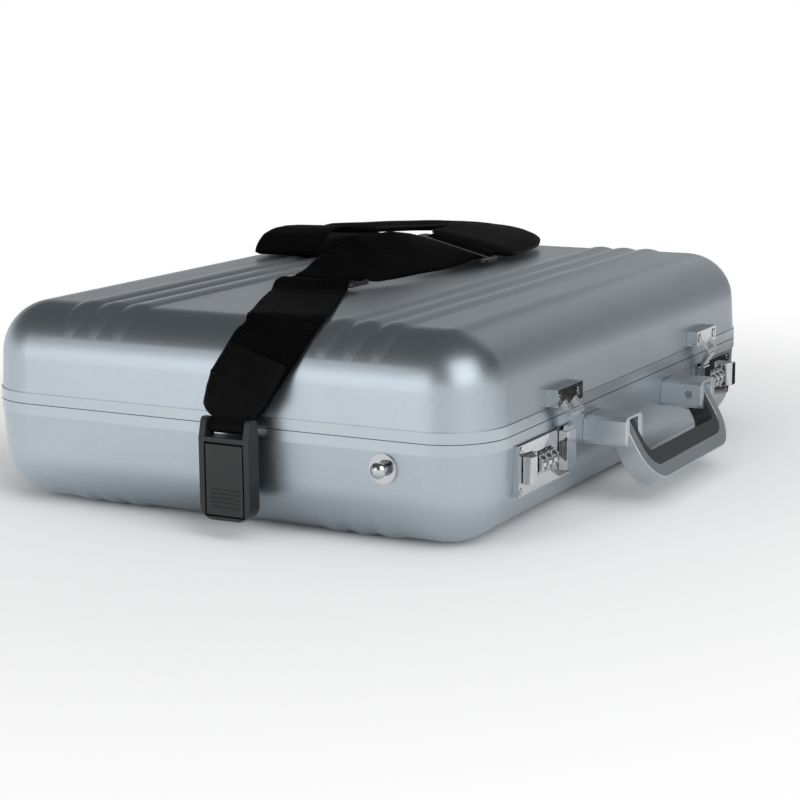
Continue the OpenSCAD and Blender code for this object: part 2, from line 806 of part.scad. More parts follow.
module band(s, thick, lift = 0) {
    n = len(s);
    last = 4 * (n - 1);
    points = [for (i = [0:n - 1]) each corners(s, i, thick, lift)];
    // Both faces split their four-sided patches along the same diagonal
    sides = [for (i = [0:n - 2], k = [0:3]) let (p = 4 * i + k, q = 4 * i + (k + 1) % 4)
        each (k == 2 ? [[p, p + 4, q], [p + 4, q + 4, q]] : [[p, p + 4, q + 4], [p, q + 4, q]])];
    ends = [[0, 1, 2], [0, 2, 3], [last + 3, last + 2, last + 1], [last + 3, last + 1, last]];
    polyhedron(points = points, faces = concat(sides, ends));
}

// Points and directions on the lid's left end shoulder, by angle from the top
function on_shoulder(turn, y, r) = [-end_x - r * sin(turn), y, end_z + r * cos(turn)];
function skew(turn, s) = [-cos(turn) * sin(s), cos(s), -sin(turn) * sin(s)];
// Direction across a band that heads this way in plan and leans up on its left
function lean(turn, tilt) = [-sin(turn) * cos(tilt), cos(turn) * cos(tilt), sin(tilt)];
// Mirrors stations to the other end and runs them backwards
function turned(s) = [for (i = [len(s) - 1:-1:0])
    [[-s[i][0][0], s[i][0][1], s[i][0][2]], [s[i][1][0], -s[i][1][1], -s[i][1][2]], s[i][2]]];

veer = [-14, -16, -17.3, -17.8, -17.8, -17.3, -15.9, -13.5];
swing = [-18, -13, -7, 0, 6, 12, 18, 23];
face_z = case_h - rib_h;
flat_z = face_z + 0.4 + web_t / 2;
crest_z = case_h + 0.4 + web_t / 2;
bar_gap = bar_r + touch + tab_t / 2;
tab_lift = web_t / 2 + tab_t / 2 + 0.15;

// End of the webbing as it hangs from the left shoulder; v is how much it veers to the front
function hang_end(y, v, r) = concat([
    [[-clip_x - 2, y, bar_z + 5.5], [0, 1, 0], clip_w - 10],
    [[-clip_x - 1.7, y, bar_z + 9.5], [0, 1, 0], clip_w + 3],
    [[-clip_x - 1, y - 3 * v, bar_z + 17.5], [0, 1, 0.1 * v], clip_w + 6],
    [[-clip_x + 0.2, y - 6 * v, bar_z + 23.5], [0, 1, 0.2 * v], clip_w + 10]],
    [for (k = [0:7]) [on_shoulder(56 - 8 * k, y + v * veer[k], r), skew(56 - 8 * k, v * swing[k]), web_w]]);

left_end = hang_end(clip_y_left, 1, shoulder_r + 0.8 + web_t / 2);
right_end = hang_end(clip_y_right, 0, shoulder_r + rib_h + 0.6 + web_t / 2);

// Tab round the clip's bar and up over the first part of the webbing
module strap_tab(side, s, y) {
    loop = [
        [[-bar_x + bar_gap + 0.4, y, bar_z + 3.4], [0, 1, 0], clip_w - 10],
        [[-bar_x + bar_gap, y, bar_z], [0, 1, 0], clip_w - 10],
        [[-bar_x + 0.7 * bar_gap, y, bar_z - 0.7 * bar_gap], [0, 1, 0], clip_w - 10],
        [[-bar_x, y, bar_z - bar_gap], [0, 1, 0], clip_w - 10],
        [[-bar_x - 0.7 * bar_gap, y, bar_z - 0.7 * bar_gap], [0, 1, 0], clip_w - 10],
        [[-bar_x - bar_gap, y, bar_z], [0, 1, 0], clip_w - 10],
        [[-bar_x - 0.7 * bar_gap, y, bar_z + 0.7 * bar_gap], [0, 1, 0], clip_w - 10]];
    over = [for (i = [0:4]) [s[i][0] + station_up(s, i) * tab_lift, s[i][1], s[i][2]]];
    color("black") on_side(side) band(concat(loop, over), tab_t);
}

// Slides: three bars across the webbing, which goes over, under and over
slide_bar = 4;
slide_slot = 5 + web_t;
slide_t = 2.4;
slide_step = slide_bar + slide_slot;
wave = slide_t / 2 + web_t / 2 + touch;
slide_left = [-78, 11, face_z + wave + web_t / 2 + 1];
slide_right = [72, -11, face_z + 10.8];
tilt_right = 14;

function at_slide(c, tilt, dx, dn) =
    [c + [dx, -dn * sin(tilt), dn * cos(tilt)], [0, cos(tilt), sin(tilt)], web_w];
function through(c, tilt) = let (e = slide_bar / 2 + touch, p = slide_step) [
    at_slide(c, tilt, -p - e, wave), at_slide(c, tilt, -p + e, wave),
    at_slide(c, tilt, -e, -wave), at_slide(c, tilt, e, -wave),
    at_slide(c, tilt, p - e, wave), at_slide(c, tilt, p + e, wave)];

module web_slide(c, tilt) {
    long = web_w + 10;
    wide = 2 * slide_step + slide_bar;
    color("dimgray") translate(c) rotate([tilt, 0, 0]) translate([0, 0, -slide_t / 2])
        linear_extrude(slide_t) difference() {
            union() {
                square([wide - 12, long], center = true);
                square([wide, long - 12], center = true);
                for (x = [-1, 1], y = [-1, 1])
                    translate([x * (wide / 2 - 6), y * (long / 2 - 6)]) circle(6);
            }
            for (x = [-1, 1]) translate([x * slide_step / 2, 0])
                square([slide_slot, web_w + 2], center = true);
        }
}

// Shoulder pad, from the right-hand slide round to the back
pad_path = [
    [[92, -11, face_z + 11.7], lean(0, 12), pad_w],
    [[120, -10, face_z + 11.7], lean(3, 12), pad_w],
    [[148, -6, face_z + 11.9], lean(14, 12), pad_w],
    [[172, 4, face_z + 12.1], lean(32, 10), pad_w],
    [[190, 22, face_z + 12], lean(58, 8), pad_w],
    [[198, 46, face_z + 11.7], lean(85, 6), pad_w],
    [[195, 71, face_z + 11.5], lean(112, 5), pad_w],
    [[180, 93, face_z + 11.5], lean(138, 5), pad_w],
    [[158, 108, face_z + 12], lean(152, 5), pad_w],
    [[136, 118, face_z + 13], lean(158, 4), pad_w]];

front_path = concat([for (i = [2:11]) left_end[i]], [
    [[-end_x + 12, clip_y_left - 8.1, flat_z], lean(23, 0), web_w],
    [[-124, clip_y_left + 17.7, flat_z], lean(23, 0), web_w],
    [[-104, clip_y_left + 25.5, flat_z + 0.8], lean(14, 0), web_w]],
    through(slide_left, 0), [
    [[-50, 8, face_z + 9.5], lean(-10, 16), web_w],
    [[-20, -1, face_z + 14.5], lean(-12, 28), web_w],
    [[18, -8, face_z + 15], lean(-8, 29), web_w],
    [[42, -10.5, face_z + 13.8], lean(-2, 22), web_w]],
    through(slide_right, tilt_right), [
    [[90, -11, face_z + 11.8], lean(0, 12), web_w],
    [[100, -10.7, face_z + 11.7], lean(1, 12), web_w]]);

return_path = concat([
    [[143, 114.9, face_z + 12.7], lean(157, 4), web_w],
    [[134, 118.8, face_z + 13.2], lean(158, 4), web_w],
    [[118, 122.6, face_z + 16], lean(168, 3), web_w],
    [[100, 122.4, face_z + 17.5], lean(178, 2), web_w],
    [[82, 119.8, face_z + 17.5], lean(186, 1), web_w],
    [[66, 116.6, face_z + 15], lean(189, 0), web_w],
    [[54, 114.5, face_z + 10.4], lean(187, 0), web_w],
    [[48.5, 113.8, face_z + 6.9], lean(184, 0), web_w],
    [[46.4, 113.6, face_z + 4.9], lean(182, 0), web_w],
    [[48.5, 113.8, crest_z], lean(184, 0), web_w],
    [[60, 115.8, crest_z], lean(190, 0), web_w],
    [[110, 126.6, crest_z], lean(192, 0), web_w],
    [[150, 135.6, crest_z], lean(190, 0), web_w],
    [[end_x - 8, clip_y_right, crest_z], lean(182, 0), web_w]],
    [for (i = [0:9]) turned(right_end)[i]]);

module webbing_front() {
    color("black") band(front_path, web_t);
}

module webbing_return() {
    color("black") band(return_path, web_t);
}

// The webbing's ends are let into the pad
module shoulder_pad() {
    a = pad_path;
    b = return_path;
    color("black") difference() {
        band(a, pad_t);
        band([[a[0][0] - [2, 0.1, 0], a[0][1], web_w + 1.6],
            [[102, -10.6, face_z + 11.7], lean(1, 12), web_w + 1.6]], web_t + 0.8);
        band([[[145, 114.1, face_z + 12.6], lean(157, 4), web_w + 1.6],
            [b[1][0] + [-2, 0.9, 0.2], b[1][1], web_w + 1.6]], web_t + 1.4);
    }
}

// Drawing
base_shell();
lid_shell();
base_frame();
lid_frame();
lid_seal();
base_rivets();
lid_rivets();
base_liner();
lid_liner();
lid_pocket();
hinge_base_leaf();
hinge_lid_leaf();
hinge_pin();
lock_plate(0);  // lock_plate_left
lock_plate(1);  // lock_plate_right
thumb_slide(0);  // thumb_slide_left
thumb_slide(1);  // thumb_slide_right
dial(0, 1);  // dial_left_1
dial(0, 2);  // dial_left_2
dial(0, 3);  // dial_left_3
dial(1, 1);  // dial_right_1
dial(1, 2);  // dial_right_2
dial(1, 3);  // dial_right_3
dial_spindle(0);  // dial_spindle_left
dial_spindle(1);  // dial_spindle_right
lock_screws();
striker(0);  // striker_left
striker(1);  // striker_right
striker_screws();
hasp(0);  // hasp_left
hasp(1);  // hasp_right
hasp_pin(0);  // hasp_pin_left
hasp_pin(1);  // hasp_pin_right
handle_mount(0);  // handle_mount_left
handle_mount(1);  // handle_mount_right
handle_pin(0);  // handle_pin_left
handle_pin(1);  // handle_pin_right
handle_bail();
grip_insert();
strap_post(0);  // strap_post_left
strap_post(1);  // strap_post_right
strap_clip(0, clip_y_left);  // strap_clip_left
strap_clip(1, clip_y_right);  // strap_clip_right
clip_tongue(0, clip_y_left);  // clip_tongue_left
clip_tongue(1, clip_y_right);  // clip_tongue_right
strap_tab(0, left_end, clip_y_left);  // strap_tab_left
strap_tab(1, right_end, clip_y_right);  // strap_tab_right
webbing_front();
webbing_return();
web_slide(slide_left, 0);  // web_slide_left
web_slide(slide_right, tilt_right);  // web_slide_right
shoulder_pad();
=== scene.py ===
"""Looks of an aluminium attache case with combination locks, a folding handle and a strap."""

import json
import logging
import math
from dataclasses import dataclass
from enum import Enum
from typing import Callable, Optional, Sequence, Union

import bmesh
import bpy
from mathutils import Matrix, Vector


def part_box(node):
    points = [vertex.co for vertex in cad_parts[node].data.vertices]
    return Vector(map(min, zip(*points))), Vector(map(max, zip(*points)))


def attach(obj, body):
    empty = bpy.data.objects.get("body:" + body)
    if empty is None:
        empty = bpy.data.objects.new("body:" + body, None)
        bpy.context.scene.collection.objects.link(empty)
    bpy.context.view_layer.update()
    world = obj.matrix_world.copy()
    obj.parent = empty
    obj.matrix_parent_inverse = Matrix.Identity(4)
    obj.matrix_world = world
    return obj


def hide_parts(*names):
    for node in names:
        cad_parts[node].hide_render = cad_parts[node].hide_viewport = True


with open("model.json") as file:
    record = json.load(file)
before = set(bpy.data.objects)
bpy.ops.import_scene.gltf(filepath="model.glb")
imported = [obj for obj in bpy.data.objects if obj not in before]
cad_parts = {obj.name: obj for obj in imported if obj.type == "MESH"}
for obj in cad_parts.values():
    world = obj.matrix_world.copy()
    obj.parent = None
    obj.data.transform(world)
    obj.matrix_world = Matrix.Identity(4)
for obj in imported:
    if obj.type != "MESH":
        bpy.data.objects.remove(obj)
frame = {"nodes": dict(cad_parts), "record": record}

LOG = logging.getLogger("attache_case")
MM = 0.001
Colour = tuple[float, float, float]
Number = Union[int, float]
Operand = Union["Value", int, float]

# Case sizes that the soft goods and liners follow, in millimetres
CASE_H = 127.0
RIB_H = 1.5
FACE_Z = CASE_H - RIB_H
SIDE_X = 190.5
SIDE_Y = 137.0
SHELL_R = 38.0 - 0.8
SHOULDER_R = 33.0
DRAFT = math.radians(3.0)
BASE_RIM = 58.25
LID_RIM = 55.25
END_X = 193.57
END_Z = FACE_Z - SHOULDER_R
WEB_W = 50.0
WEB_T = 2.0
PAD_W = 66.0
TAB_T = 1.6
BAR_X = 241.0
BAR_Z = 66.5
CLIP_Y_LEFT = -20.0
CLIP_Y_RIGHT = 141.0

# Piping and hems: radius in metres and faces round it
CORD_RADIUS = 0.0011
CORD_SIDES = 8

# Material index of sewing thread, and distance in metres within which points are merged
SEWN = 1
WELD = 2e-6

# The part of the studio that shows dark only in reflections, painted dark on the floor for gloss:
# its direction in plan and the cosines it spans
FRONT_WAY = (0.88, -0.47)
FRONT_SPAN = (0.70, 0.90)


class Side(Enum):
    """The two ends of the case, as a sign along its length."""

    LEFT = -1
    RIGHT = 1

    @property
    def word(self) -> str:
        """The side's name as it stands in node names."""
        return self.name.lower()


class Hold(Enum):
    """How a sheet of cloth or leather is held."""

    DRAPED = "draped"
    FOLDED = "folded"


# --------------------------------------------------------------------------------------------
# Shader maths
# --------------------------------------------------------------------------------------------


class Value:
    """A shader socket that carries a number, with Python's operators turned into Math nodes."""

    def __init__(self, tree: "Tree", socket: bpy.types.NodeSocket) -> None:
        """Wraps a socket.

        Args:
            tree: The tree that the socket belongs to.
            socket: An output socket.
        """
        self.tree = tree
        self.socket = socket

    def _math(self, operation: str, *operands: Operand) -> "Value":
        """Adds a Math node.

        Args:
            operation: The node's operation.
            operands: Its operands.

        Returns:
            The node's result.
        """
        return self.tree.node("ShaderNodeMath", {"operation": operation}, dict(enumerate(operands)))

    def __add__(self, other: Operand) -> "Value":
        """Sum."""
        return self._math("ADD", self, other)

    __radd__ = __add__

    def __sub__(self, other: Operand) -> "Value":
        """Difference."""
        return self._math("SUBTRACT", self, other)

    def __rsub__(self, other: Number) -> "Value":
        """Reflected difference."""
        return self._math("SUBTRACT", other, self)

    def __mul__(self, other: Operand) -> "Value":
        """Product."""
        return self._math("MULTIPLY", self, other)

    __rmul__ = __mul__

    def __truediv__(self, other: Operand) -> "Value":
        """Quotient."""
        return self._math("DIVIDE", self, other)

    def __pow__(self, other: Number) -> "Value":
        """Power."""
        return self._math("POWER", self, other)

    def __abs__(self) -> "Value":
        """Size without sign."""
        return self._math("ABSOLUTE", self)

    def sine(self) -> "Value":
        """Sine of the value in radians."""
        return self._math("SINE", self)

    def floor(self) -> "Value":
        """Whole part below."""
        return self._math("FLOOR", self)

    def least(self, other: Operand) -> "Value":
        """Smaller of two."""
        return self._math("MINIMUM", self, other)

    def most(self, other: Operand) -> "Value":
        """Larger of two."""
        return self._math("MAXIMUM", self, other)

    def ease(self, low: float, high: float, out_low: float = 0.0, out_high: float = 1.0) -> "Value":
        """Smooth step from one range to another.

        Args:
            low: Input at which the result is out_low.
            high: Input at which the result is out_high.
            out_low: Result at low.
            out_high: Result at high.

        Returns:
            The eased value.
        """
        return self.tree.node("ShaderNodeMapRange", {"interpolation_type": "SMOOTHSTEP"},
                              {"Value": self, "From Min": low, "From Max": high,
                               "To Min": out_low, "To Max": out_high})


class Tree:
    """The node tree of a material or a world, built through one method."""

    def __init__(self, holder: Union[bpy.types.Material, bpy.types.World]) -> None:
        """Empties the tree.

        Args:
            holder: The material or world that the tree belongs to.
        """
        self.holder = holder
        holder.use_nodes = True
        self.nodes = holder.node_tree.nodes
        self.links = holder.node_tree.links
        self.nodes.clear()

    def node(self, kind: str, settings: Optional[dict] = None, inputs: Optional[dict] = None,
             output: Union[int, str] = 0) -> Value:
        """Adds a node, with its settings made before its sockets are filled.

        Args:
            kind: The node's type.
            settings: Its properties; "stops" fills a colour ramp.
            inputs: Values or links by socket name or index.
            output: The output that is returned.

        Returns:
            The chosen output.
        """
        made = self.nodes.new(kind)
        for key, value in (settings or {}).items():
            if key == "stops":
                ramp = made.color_ramp
                while len(ramp.elements) < len(value):
                    ramp.elements.new(1.0)
                for element, (place, colour) in zip(ramp.elements, value):
                    element.position = place
                    element.color = (*colour, 1.0)
            else:
                setattr(made, key, value)
        for key, value in (inputs or {}).items():
            socket = made.inputs[key]
            if isinstance(value, Value):
                self.links.new(value.socket, socket)
            elif isinstance(value, tuple) and len(value) == 3 and socket.type == "RGBA":
                socket.default_value = (*value, 1.0)
            else:
                socket.default_value = value
        if not made.outputs:
            return Value(self, None)
        return Value(self, made.outputs[output])

    def place(self, kind: str = "Object") -> Value:
        """Coordinates of the point: Object or UV."""
        return self.node("ShaderNodeTexCoord", output=kind)

    def moved(self, vector: Value, scale: Colour = (1, 1, 1), turn: Colour = (0, 0, 0)) -> Value:
        """Stretched or turned coordinates.

        Args:
            vector: Coordinates.
            scale: Factor along each axis.
            turn: Turn about each axis in radians.

        Returns:
            The new coordinates.
        """
        return self.node("ShaderNodeMapping", {"vector_type": "POINT"},
                         {"Vector": vector, "Rotation": turn, "Scale": scale})

    def axes(self, vector: Value) -> tuple[Value, Value, Value]:
        """The three numbers of a vector."""
        made = self.nodes.new("ShaderNodeSeparateXYZ")
        self.links.new(vector.socket, made.inputs[0])
        return tuple(Value(self, made.outputs[k]) for k in range(3))

    def noise(self, vector: Value, scale: float, detail: float = 3.0, rough: float = 0.55) -> Value:
        """Fractal noise from 0 to 1.

        Args:
            vector: Coordinates in metres.
            scale: Cells in a metre.
            detail: Octaves.
            rough: Strength of the finer octaves.

        Returns:
            The noise.
        """
        return self.node("ShaderNodeTexNoise", {"noise_dimensions": "3D"},
                         {"Vector": vector, "Scale": scale, "Detail": detail, "Roughness": rough})

    def cells(self, vector: Value, scale: float, feature: str = "F1") -> Value:
        """Distance to the nearest of scattered points, or to the border between them."""
        return self.node("ShaderNodeTexVoronoi", {"feature": feature},
                         {"Vector": vector, "Scale": scale}, "Distance")

    def mix(self, factor: Union[Value, float], first: Union[Value, Colour],
            second: Union[Value, Colour]) -> Value:
        """Blend of two colours.

        Args:
            factor: Share of the second.
            first: Colour at 0.
            second: Colour at 1.

        Returns:
            The blended colour.
        """
        return self.node("ShaderNodeMix", {"data_type": "RGBA"},
                         {0: factor, 6: first, 7: second}, 2)

    def dress(self, base: Union[Value, Colour], rough: Union[Value, float],
              height: Optional[Value] = None, depth: float = 0.0001,
              metal: Union[Value, float] = 0.0, **constants: float) -> bpy.types.Material:
        """Closes the tree with a Principled surface.

        Args:
            base: Base colour.
            rough: Roughness.
            height: Relief from 0 to 1.
            depth: The relief's depth in metres.
            metal: Metallic.
            constants: Further plain numbers, with spaces in their names as underscores.

        Returns:
            The material.
        """
        sockets: dict = {"Base Color": base, "Roughness": rough, "Metallic": metal}
        sockets.update({key.replace("_", " "): value for key, value in constants.items()})
        if height is not None:
            sockets["Normal"] = self.node("ShaderNodeBump", {},
                                          {"Strength": 1.0, "Distance": depth, "Height": height})
        shader = self.node("ShaderNodeBsdfPrincipled", {}, sockets)
        self.node("ShaderNodeOutputMaterial", {}, {"Surface": shader})
        return self.holder


# --------------------------------------------------------------------------------------------
# Finishes
# --------------------------------------------------------------------------------------------

_MADE: dict[str, bpy.types.Material] = {}


@dataclass(frozen=True)
class Finish:
    """A surface's looks, made once for each name."""

    name: str
    tint: Colour

    def material(self) -> bpy.types.Material:
        """The finish as a material."""
        if self.name not in _MADE:
            _MADE[self.name] = self.build(Tree(bpy.data.materials.new(self.name)))
        return _MADE[self.name]

    def build(self, tree: Tree) -> bpy.types.Material:
        """Builds the node tree; each kind of finish has its own."""
        raise NotImplementedError


@dataclass(frozen=True)
class SatinMetal(Finish):
    """Anodised or brushed metal: fine lines along one axis, handling marks and dulled places."""

    rough: float = 0.36
    lines: Colour = (6.0, 900.0, 900.0)
    line_depth: float = 0.000012
    marks: float = 0.06
    dull: Colour = (0.36, 0.38, 0.40)

    def build(self, tree: Tree) -> bpy.types.Material:
        """Brushed lines, cloudy sheen, smudges and a few hair scratches."""
        spot = tree.place()
        grain = tree.noise(tree.moved(spot, self.lines), 1.0, 2.0, 0.6)
        fine = tree.noise(tree.moved(spot, tuple(2.6 * k for k in self.lines)), 1.0, 1.0, 0.5)
        cloud = tree.noise(spot, 9.0, 4.0, 0.6)
        smudge = tree.noise(spot, 38.0, 5.0, 0.65).ease(0.5, 0.72)
        speck = tree.noise(spot, 620.0, 2.0, 0.5)
        hair = tree.noise(tree.moved(spot, (14.0, 420.0, 260.0), (0.4, 0.3, 0.5)), 1.0, 1.0, 0.4)
        scratch = hair.ease(0.70, 0.90)
        tone = cloud * 0.45 + grain * 0.35 + speck * 0.2
        base = tree.mix(tone.ease(0.3, 0.7), tuple(0.93 * c for c in self.tint), self.tint)
        base = tree.mix(smudge * 0.08, base, self.dull)
        rough = (grain - 0.5) * 0.10 + (cloud - 0.5) * 0.05 + smudge * self.marks - scratch * 0.04
        relief = grain * 0.6 + fine * 0.3 + speck * 0.1 - scratch * 0.15
        return tree.dress(base, rough + self.rough, relief, self.line_depth, 1.0)


@dataclass(frozen=True)
class BrightMetal(Finish):
    """Plated metal: a clear gloss with faint polishing swirls, pits and fingermarks."""

    rough: float = 0.12
    marks: float = 0.14

    def build(self, tree: Tree) -> bpy.types.Material:
        """Polish, fingermarks and a worn bloom."""
        spot = tree.place()
        swirl = tree.noise(tree.moved(spot, (300.0, 2600.0, 900.0), (0.2, 0.5, 0.9)), 1.0, 2.0, 0.5)
        mark = tree.noise(spot, 160.0, 4.0, 0.6).ease(0.5, 0.68)
        pit = tree.cells(spot, 900.0).ease(0.0, 0.12, 1.0, 0.0)
        base = tree.mix(mark * 0.5, self.tint, tuple(0.8 * c for c in self.tint))
        base = tree.mix(pit * 0.3, base, (0.22, 0.22, 0.23))
        rough = swirl * 0.03 + mark * self.marks + pit * 0.1
        return tree.dress(base, rough + self.rough, swirl * 0.5 - pit * 0.5, 0.000003, 1.0)


@dataclass(frozen=True)
class MouldedPlastic(Finish):
    """Moulded plastic: a fine spark grain, paler scuffs and a faint flow of tone."""

    rough: float = 0.5
    grain: float = 1500.0
    depth: float = 0.00004
    scuffed: Colour = (0.14, 0.14, 0.15)

    def build(self, tree: Tree) -> bpy.types.Material:
        """Grain, scuffs and fingermarks."""
        spot = tree.place()
        grain = tree.cells(spot, self.grain)
        fine = tree.noise(spot, 2.2 * self.grain, 2.0, 0.5)
        cloud = tree.noise(spot, 60.0, 3.0, 0.6)
        scuff = tree.noise(tree.moved(spot, (260.0, 1300.0, 500.0), (0.6, 0.2, 0.4)), 1.0, 3.0,
                           0.6).ease(0.66, 0.78)
        base = tree.mix(cloud * 0.5 + fine * 0.25, self.tint, tuple(1.5 * c for c in self.tint))
        base = tree.mix(scuff * 0.45, base, self.scuffed)
        rough = (cloud - 0.5) * 0.16 + (grain - 0.4) * 0.12 + scuff * 0.1
        relief = grain * 0.7 + fine * 0.3 - scuff * 0.3
        return tree.dress(base, rough + self.rough, relief, self.depth)


@dataclass(frozen=True)
class WovenWebbing(Finish):
    """Heavy nylon webbing: raised ribs along it, crossed by slanting picks, with a bound edge."""

    half_width: float = WEB_W * MM / 2
    rib: float = 0.0042
    pick: float = 0.0019

    def build(self, tree: Tree) -> bpy.types.Material:
        """Weave from the band's own coordinates in metres."""
        across, along, _ = tree.axes(tree.place("UV"))
        rib = across / self.rib
        slant = abs((rib - rib.floor()) - 0.5)
        ridge = abs((across * (math.pi / self.rib)).sine())
        pick = abs((along * (math.pi / self.pick) + slant * 1.1).sine())
        edge = abs(across).ease(self.half_width - 0.0030, self.half_width - 0.0022)
        selvedge = abs((along * (math.pi / 0.0011)).sine())
        spot = tree.place()
        fluff = tree.noise(spot, 2400.0, 2.0, 0.6)
        worn = tree.noise(spot, 42.0, 4.0, 0.6).ease(0.42, 0.72)
        body = ridge * 0.25 + pick * 0.75
        weave = body * (1 - edge) + selvedge * 0.8 * edge
        tone = weave * 0.7 + fluff * 0.3
        dark = tuple(0.45 * c for c in self.tint)
        base = tree.mix(tone.ease(0.25, 0.95), dark, tuple(1.55 * c for c in self.tint))
        base = tree.mix(worn * tone * 0.35, base, tuple(3.0 * c for c in self.tint))
        rough = 0.72 + fluff * 0.2 - tone * 0.12
        return tree.dress(base, rough, weave * 0.85 + fluff * 0.15, 0.00032,
                          Specular_IOR_Level=0.03)


@dataclass(frozen=True)
class GrainLeather(Finish):
    """Coated leather: pebbled grain, creases, and a slight gloss where it is rubbed."""

    pebble: float = 900.0

    def build(self, tree: Tree) -> bpy.types.Material:
        """Pebbles, creases and rub."""
        spot = tree.place()
        pebble = tree.cells(spot, self.pebble, "DISTANCE_TO_EDGE").ease(0.0, 0.28)
        broad = tree.cells(spot, self.pebble / 2.7, "DISTANCE_TO_EDGE").ease(0.0, 0.1)
        crease = tree.noise(tree.moved(spot, (90.0, 30.0, 240.0), (0.2, 0.1, 0.3)), 1.0, 4.0, 0.6)
        rub = tree.noise(spot, 55.0, 3.0, 0.6).ease(0.45, 0.7)
        relief = pebble * 0.6 + broad * 0.25 + crease * 0.3
        base = tree.mix(relief.ease(0.2, 1.0), tuple(0.55 * c for c in self.tint),
                        tuple(1.35 * c for c in self.tint))
        base = tree.mix(rub * 0.3, base, tuple(2.6 * c for c in self.tint))
        return tree.dress(base, 0.6 - rub * 0.12 - pebble * 0.05, relief, 0.00018,
                          Specular_IOR_Level=0.06)


@dataclass(frozen=True)
class WovenCloth(Finish):
    """Plain-woven cloth on a padded or lined form, with its threads from the surface's own map."""

    thread: float = 0.0011
    depth: float = 0.00022
    pale: float = 1.7
    sheen: float = 0.02

    def build(self, tree: Tree) -> bpy.types.Material:
        """Over-and-under threads with slubs and dust."""
        across, along, _ = tree.axes(tree.place("UV"))
        warp = abs((across * (math.pi / self.thread)).sine())
        weft = abs((along * (math.pi / self.thread)).sine())
        turn = ((across / self.thread).floor() + (along / self.thread).floor()) * (math.pi / 2)
        over = abs(turn.sine())
        spot = tree.place()
        slub = tree.noise(tree.moved(spot, (500.0, 60.0, 300.0)), 1.0, 3.0, 0.6)
        dust = tree.noise(spot, 48.0, 4.0, 0.65)
        thread = warp * over + weft * (1 - over)
        tone = thread * 0.65 + slub * 0.35
        base = tree.mix(tone.ease(0.2, 0.95), tuple(0.5 * c for c in self.tint),
                        tuple(self.pale * c for c in self.tint))
        base = tree.mix(dust.ease(0.5, 0.75) * 0.25, base, tuple(2.2 * c for c in self.tint))
        return tree.dress(base, 0.72 + slub * 0.16, thread * 0.8 + slub * 0.2, self.depth,
                          Sheen_Weight=self.sheen, Sheen_Roughness=0.5, Specular_IOR_Level=0.06)


@dataclass(frozen=True)
class FlockedLining(Finish):
    """Short-piled flock on a formed board: soft speckle, brushed patches and a pale bloom."""

    def build(self, tree: Tree) -> bpy.types.Material:
        """Pile, brushed patches and lint."""
        spot = tree.place()
        pile = tree.noise(spot, 2600.0, 3.0, 0.7)
        nap = tree.noise(tree.moved(spot, (26.0, 60.0, 40.0), (0.3, 0.2, 0.5)), 1.0, 4.0, 0.65)
        lint = tree.noise(spot, 900.0, 1.0, 0.4).ease(0.74, 0.8)
        base = tree.mix((pile * 0.5 + nap * 0.5).ease(0.3, 0.7), tuple(0.6 * c for c in self.tint),
                        tuple(1.5 * c for c in self.tint))
        base = tree.mix(lint * 0.4, base, (0.3, 0.3, 0.31))
        return tree.dress(base, 0.86 + pile * 0.1, pile * 0.7 + nap * 0.3, 0.00035,
                          Sheen_Weight=0.35, Sheen_Roughness=0.4, Specular_IOR_Level=0.2)


@dataclass(frozen=True)
class SoftRubber(Finish):
    """Extruded rubber: draw lines along it, bloom and dust."""

    def build(self, tree: Tree) -> bpy.types.Material:
        """Draw lines and bloom."""
        spot = tree.place()
        draw = tree.noise(tree.moved(spot, (30.0, 30.0, 3200.0)), 1.0, 2.0, 0.5)
        bloom = tree.noise(spot, 120.0, 4.0, 0.6).ease(0.45, 0.75)
        base = tree.mix(bloom * 0.5, self.tint, tuple(2.4 * c for c in self.tint))
        return tree.dress(base, 0.6 + draw * 0.16 + bloom * 0.1, draw, 0.00005)


@dataclass(frozen=True)
class TwistedThread(Finish):
    """Sewing thread with its twist."""

    def build(self, tree: Tree) -> bpy.types.Material:
        """Twist lines and fluff."""
        spot = tree.place()
        east, north, up = tree.axes(spot)
        twist = abs(((east + north + up) * (math.pi / 0.00045)).sine())
        fluff = tree.noise(spot, 3800.0, 2.0, 0.6)
        base = tree.mix(twist * 0.6 + fluff * 0.4, tuple(0.5 * c for c in self.tint), self.tint)
        return tree.dress(base, 0.6 + fluff * 0.2, twist, 0.00008, Sheen_Weight=0.02,
                          Specular_IOR_Level=0.12)


@dataclass(frozen=True)
class FillPaint(Finish):
    """Paint pressed into engraved figures, slightly worn."""

    def build(self, tree: Tree) -> bpy.types.Material:
        """Grainy paint with worn places."""
        spot = tree.place()
        wear = tree.noise(spot, 1900.0, 3.0, 0.6)
        base = tree.mix(wear.ease(0.5, 0.8), self.tint, tuple(3.0 * c + 0.02 for c in self.tint))
        return tree.dress(base, 0.45 + wear * 0.2, wear, 0.00002)


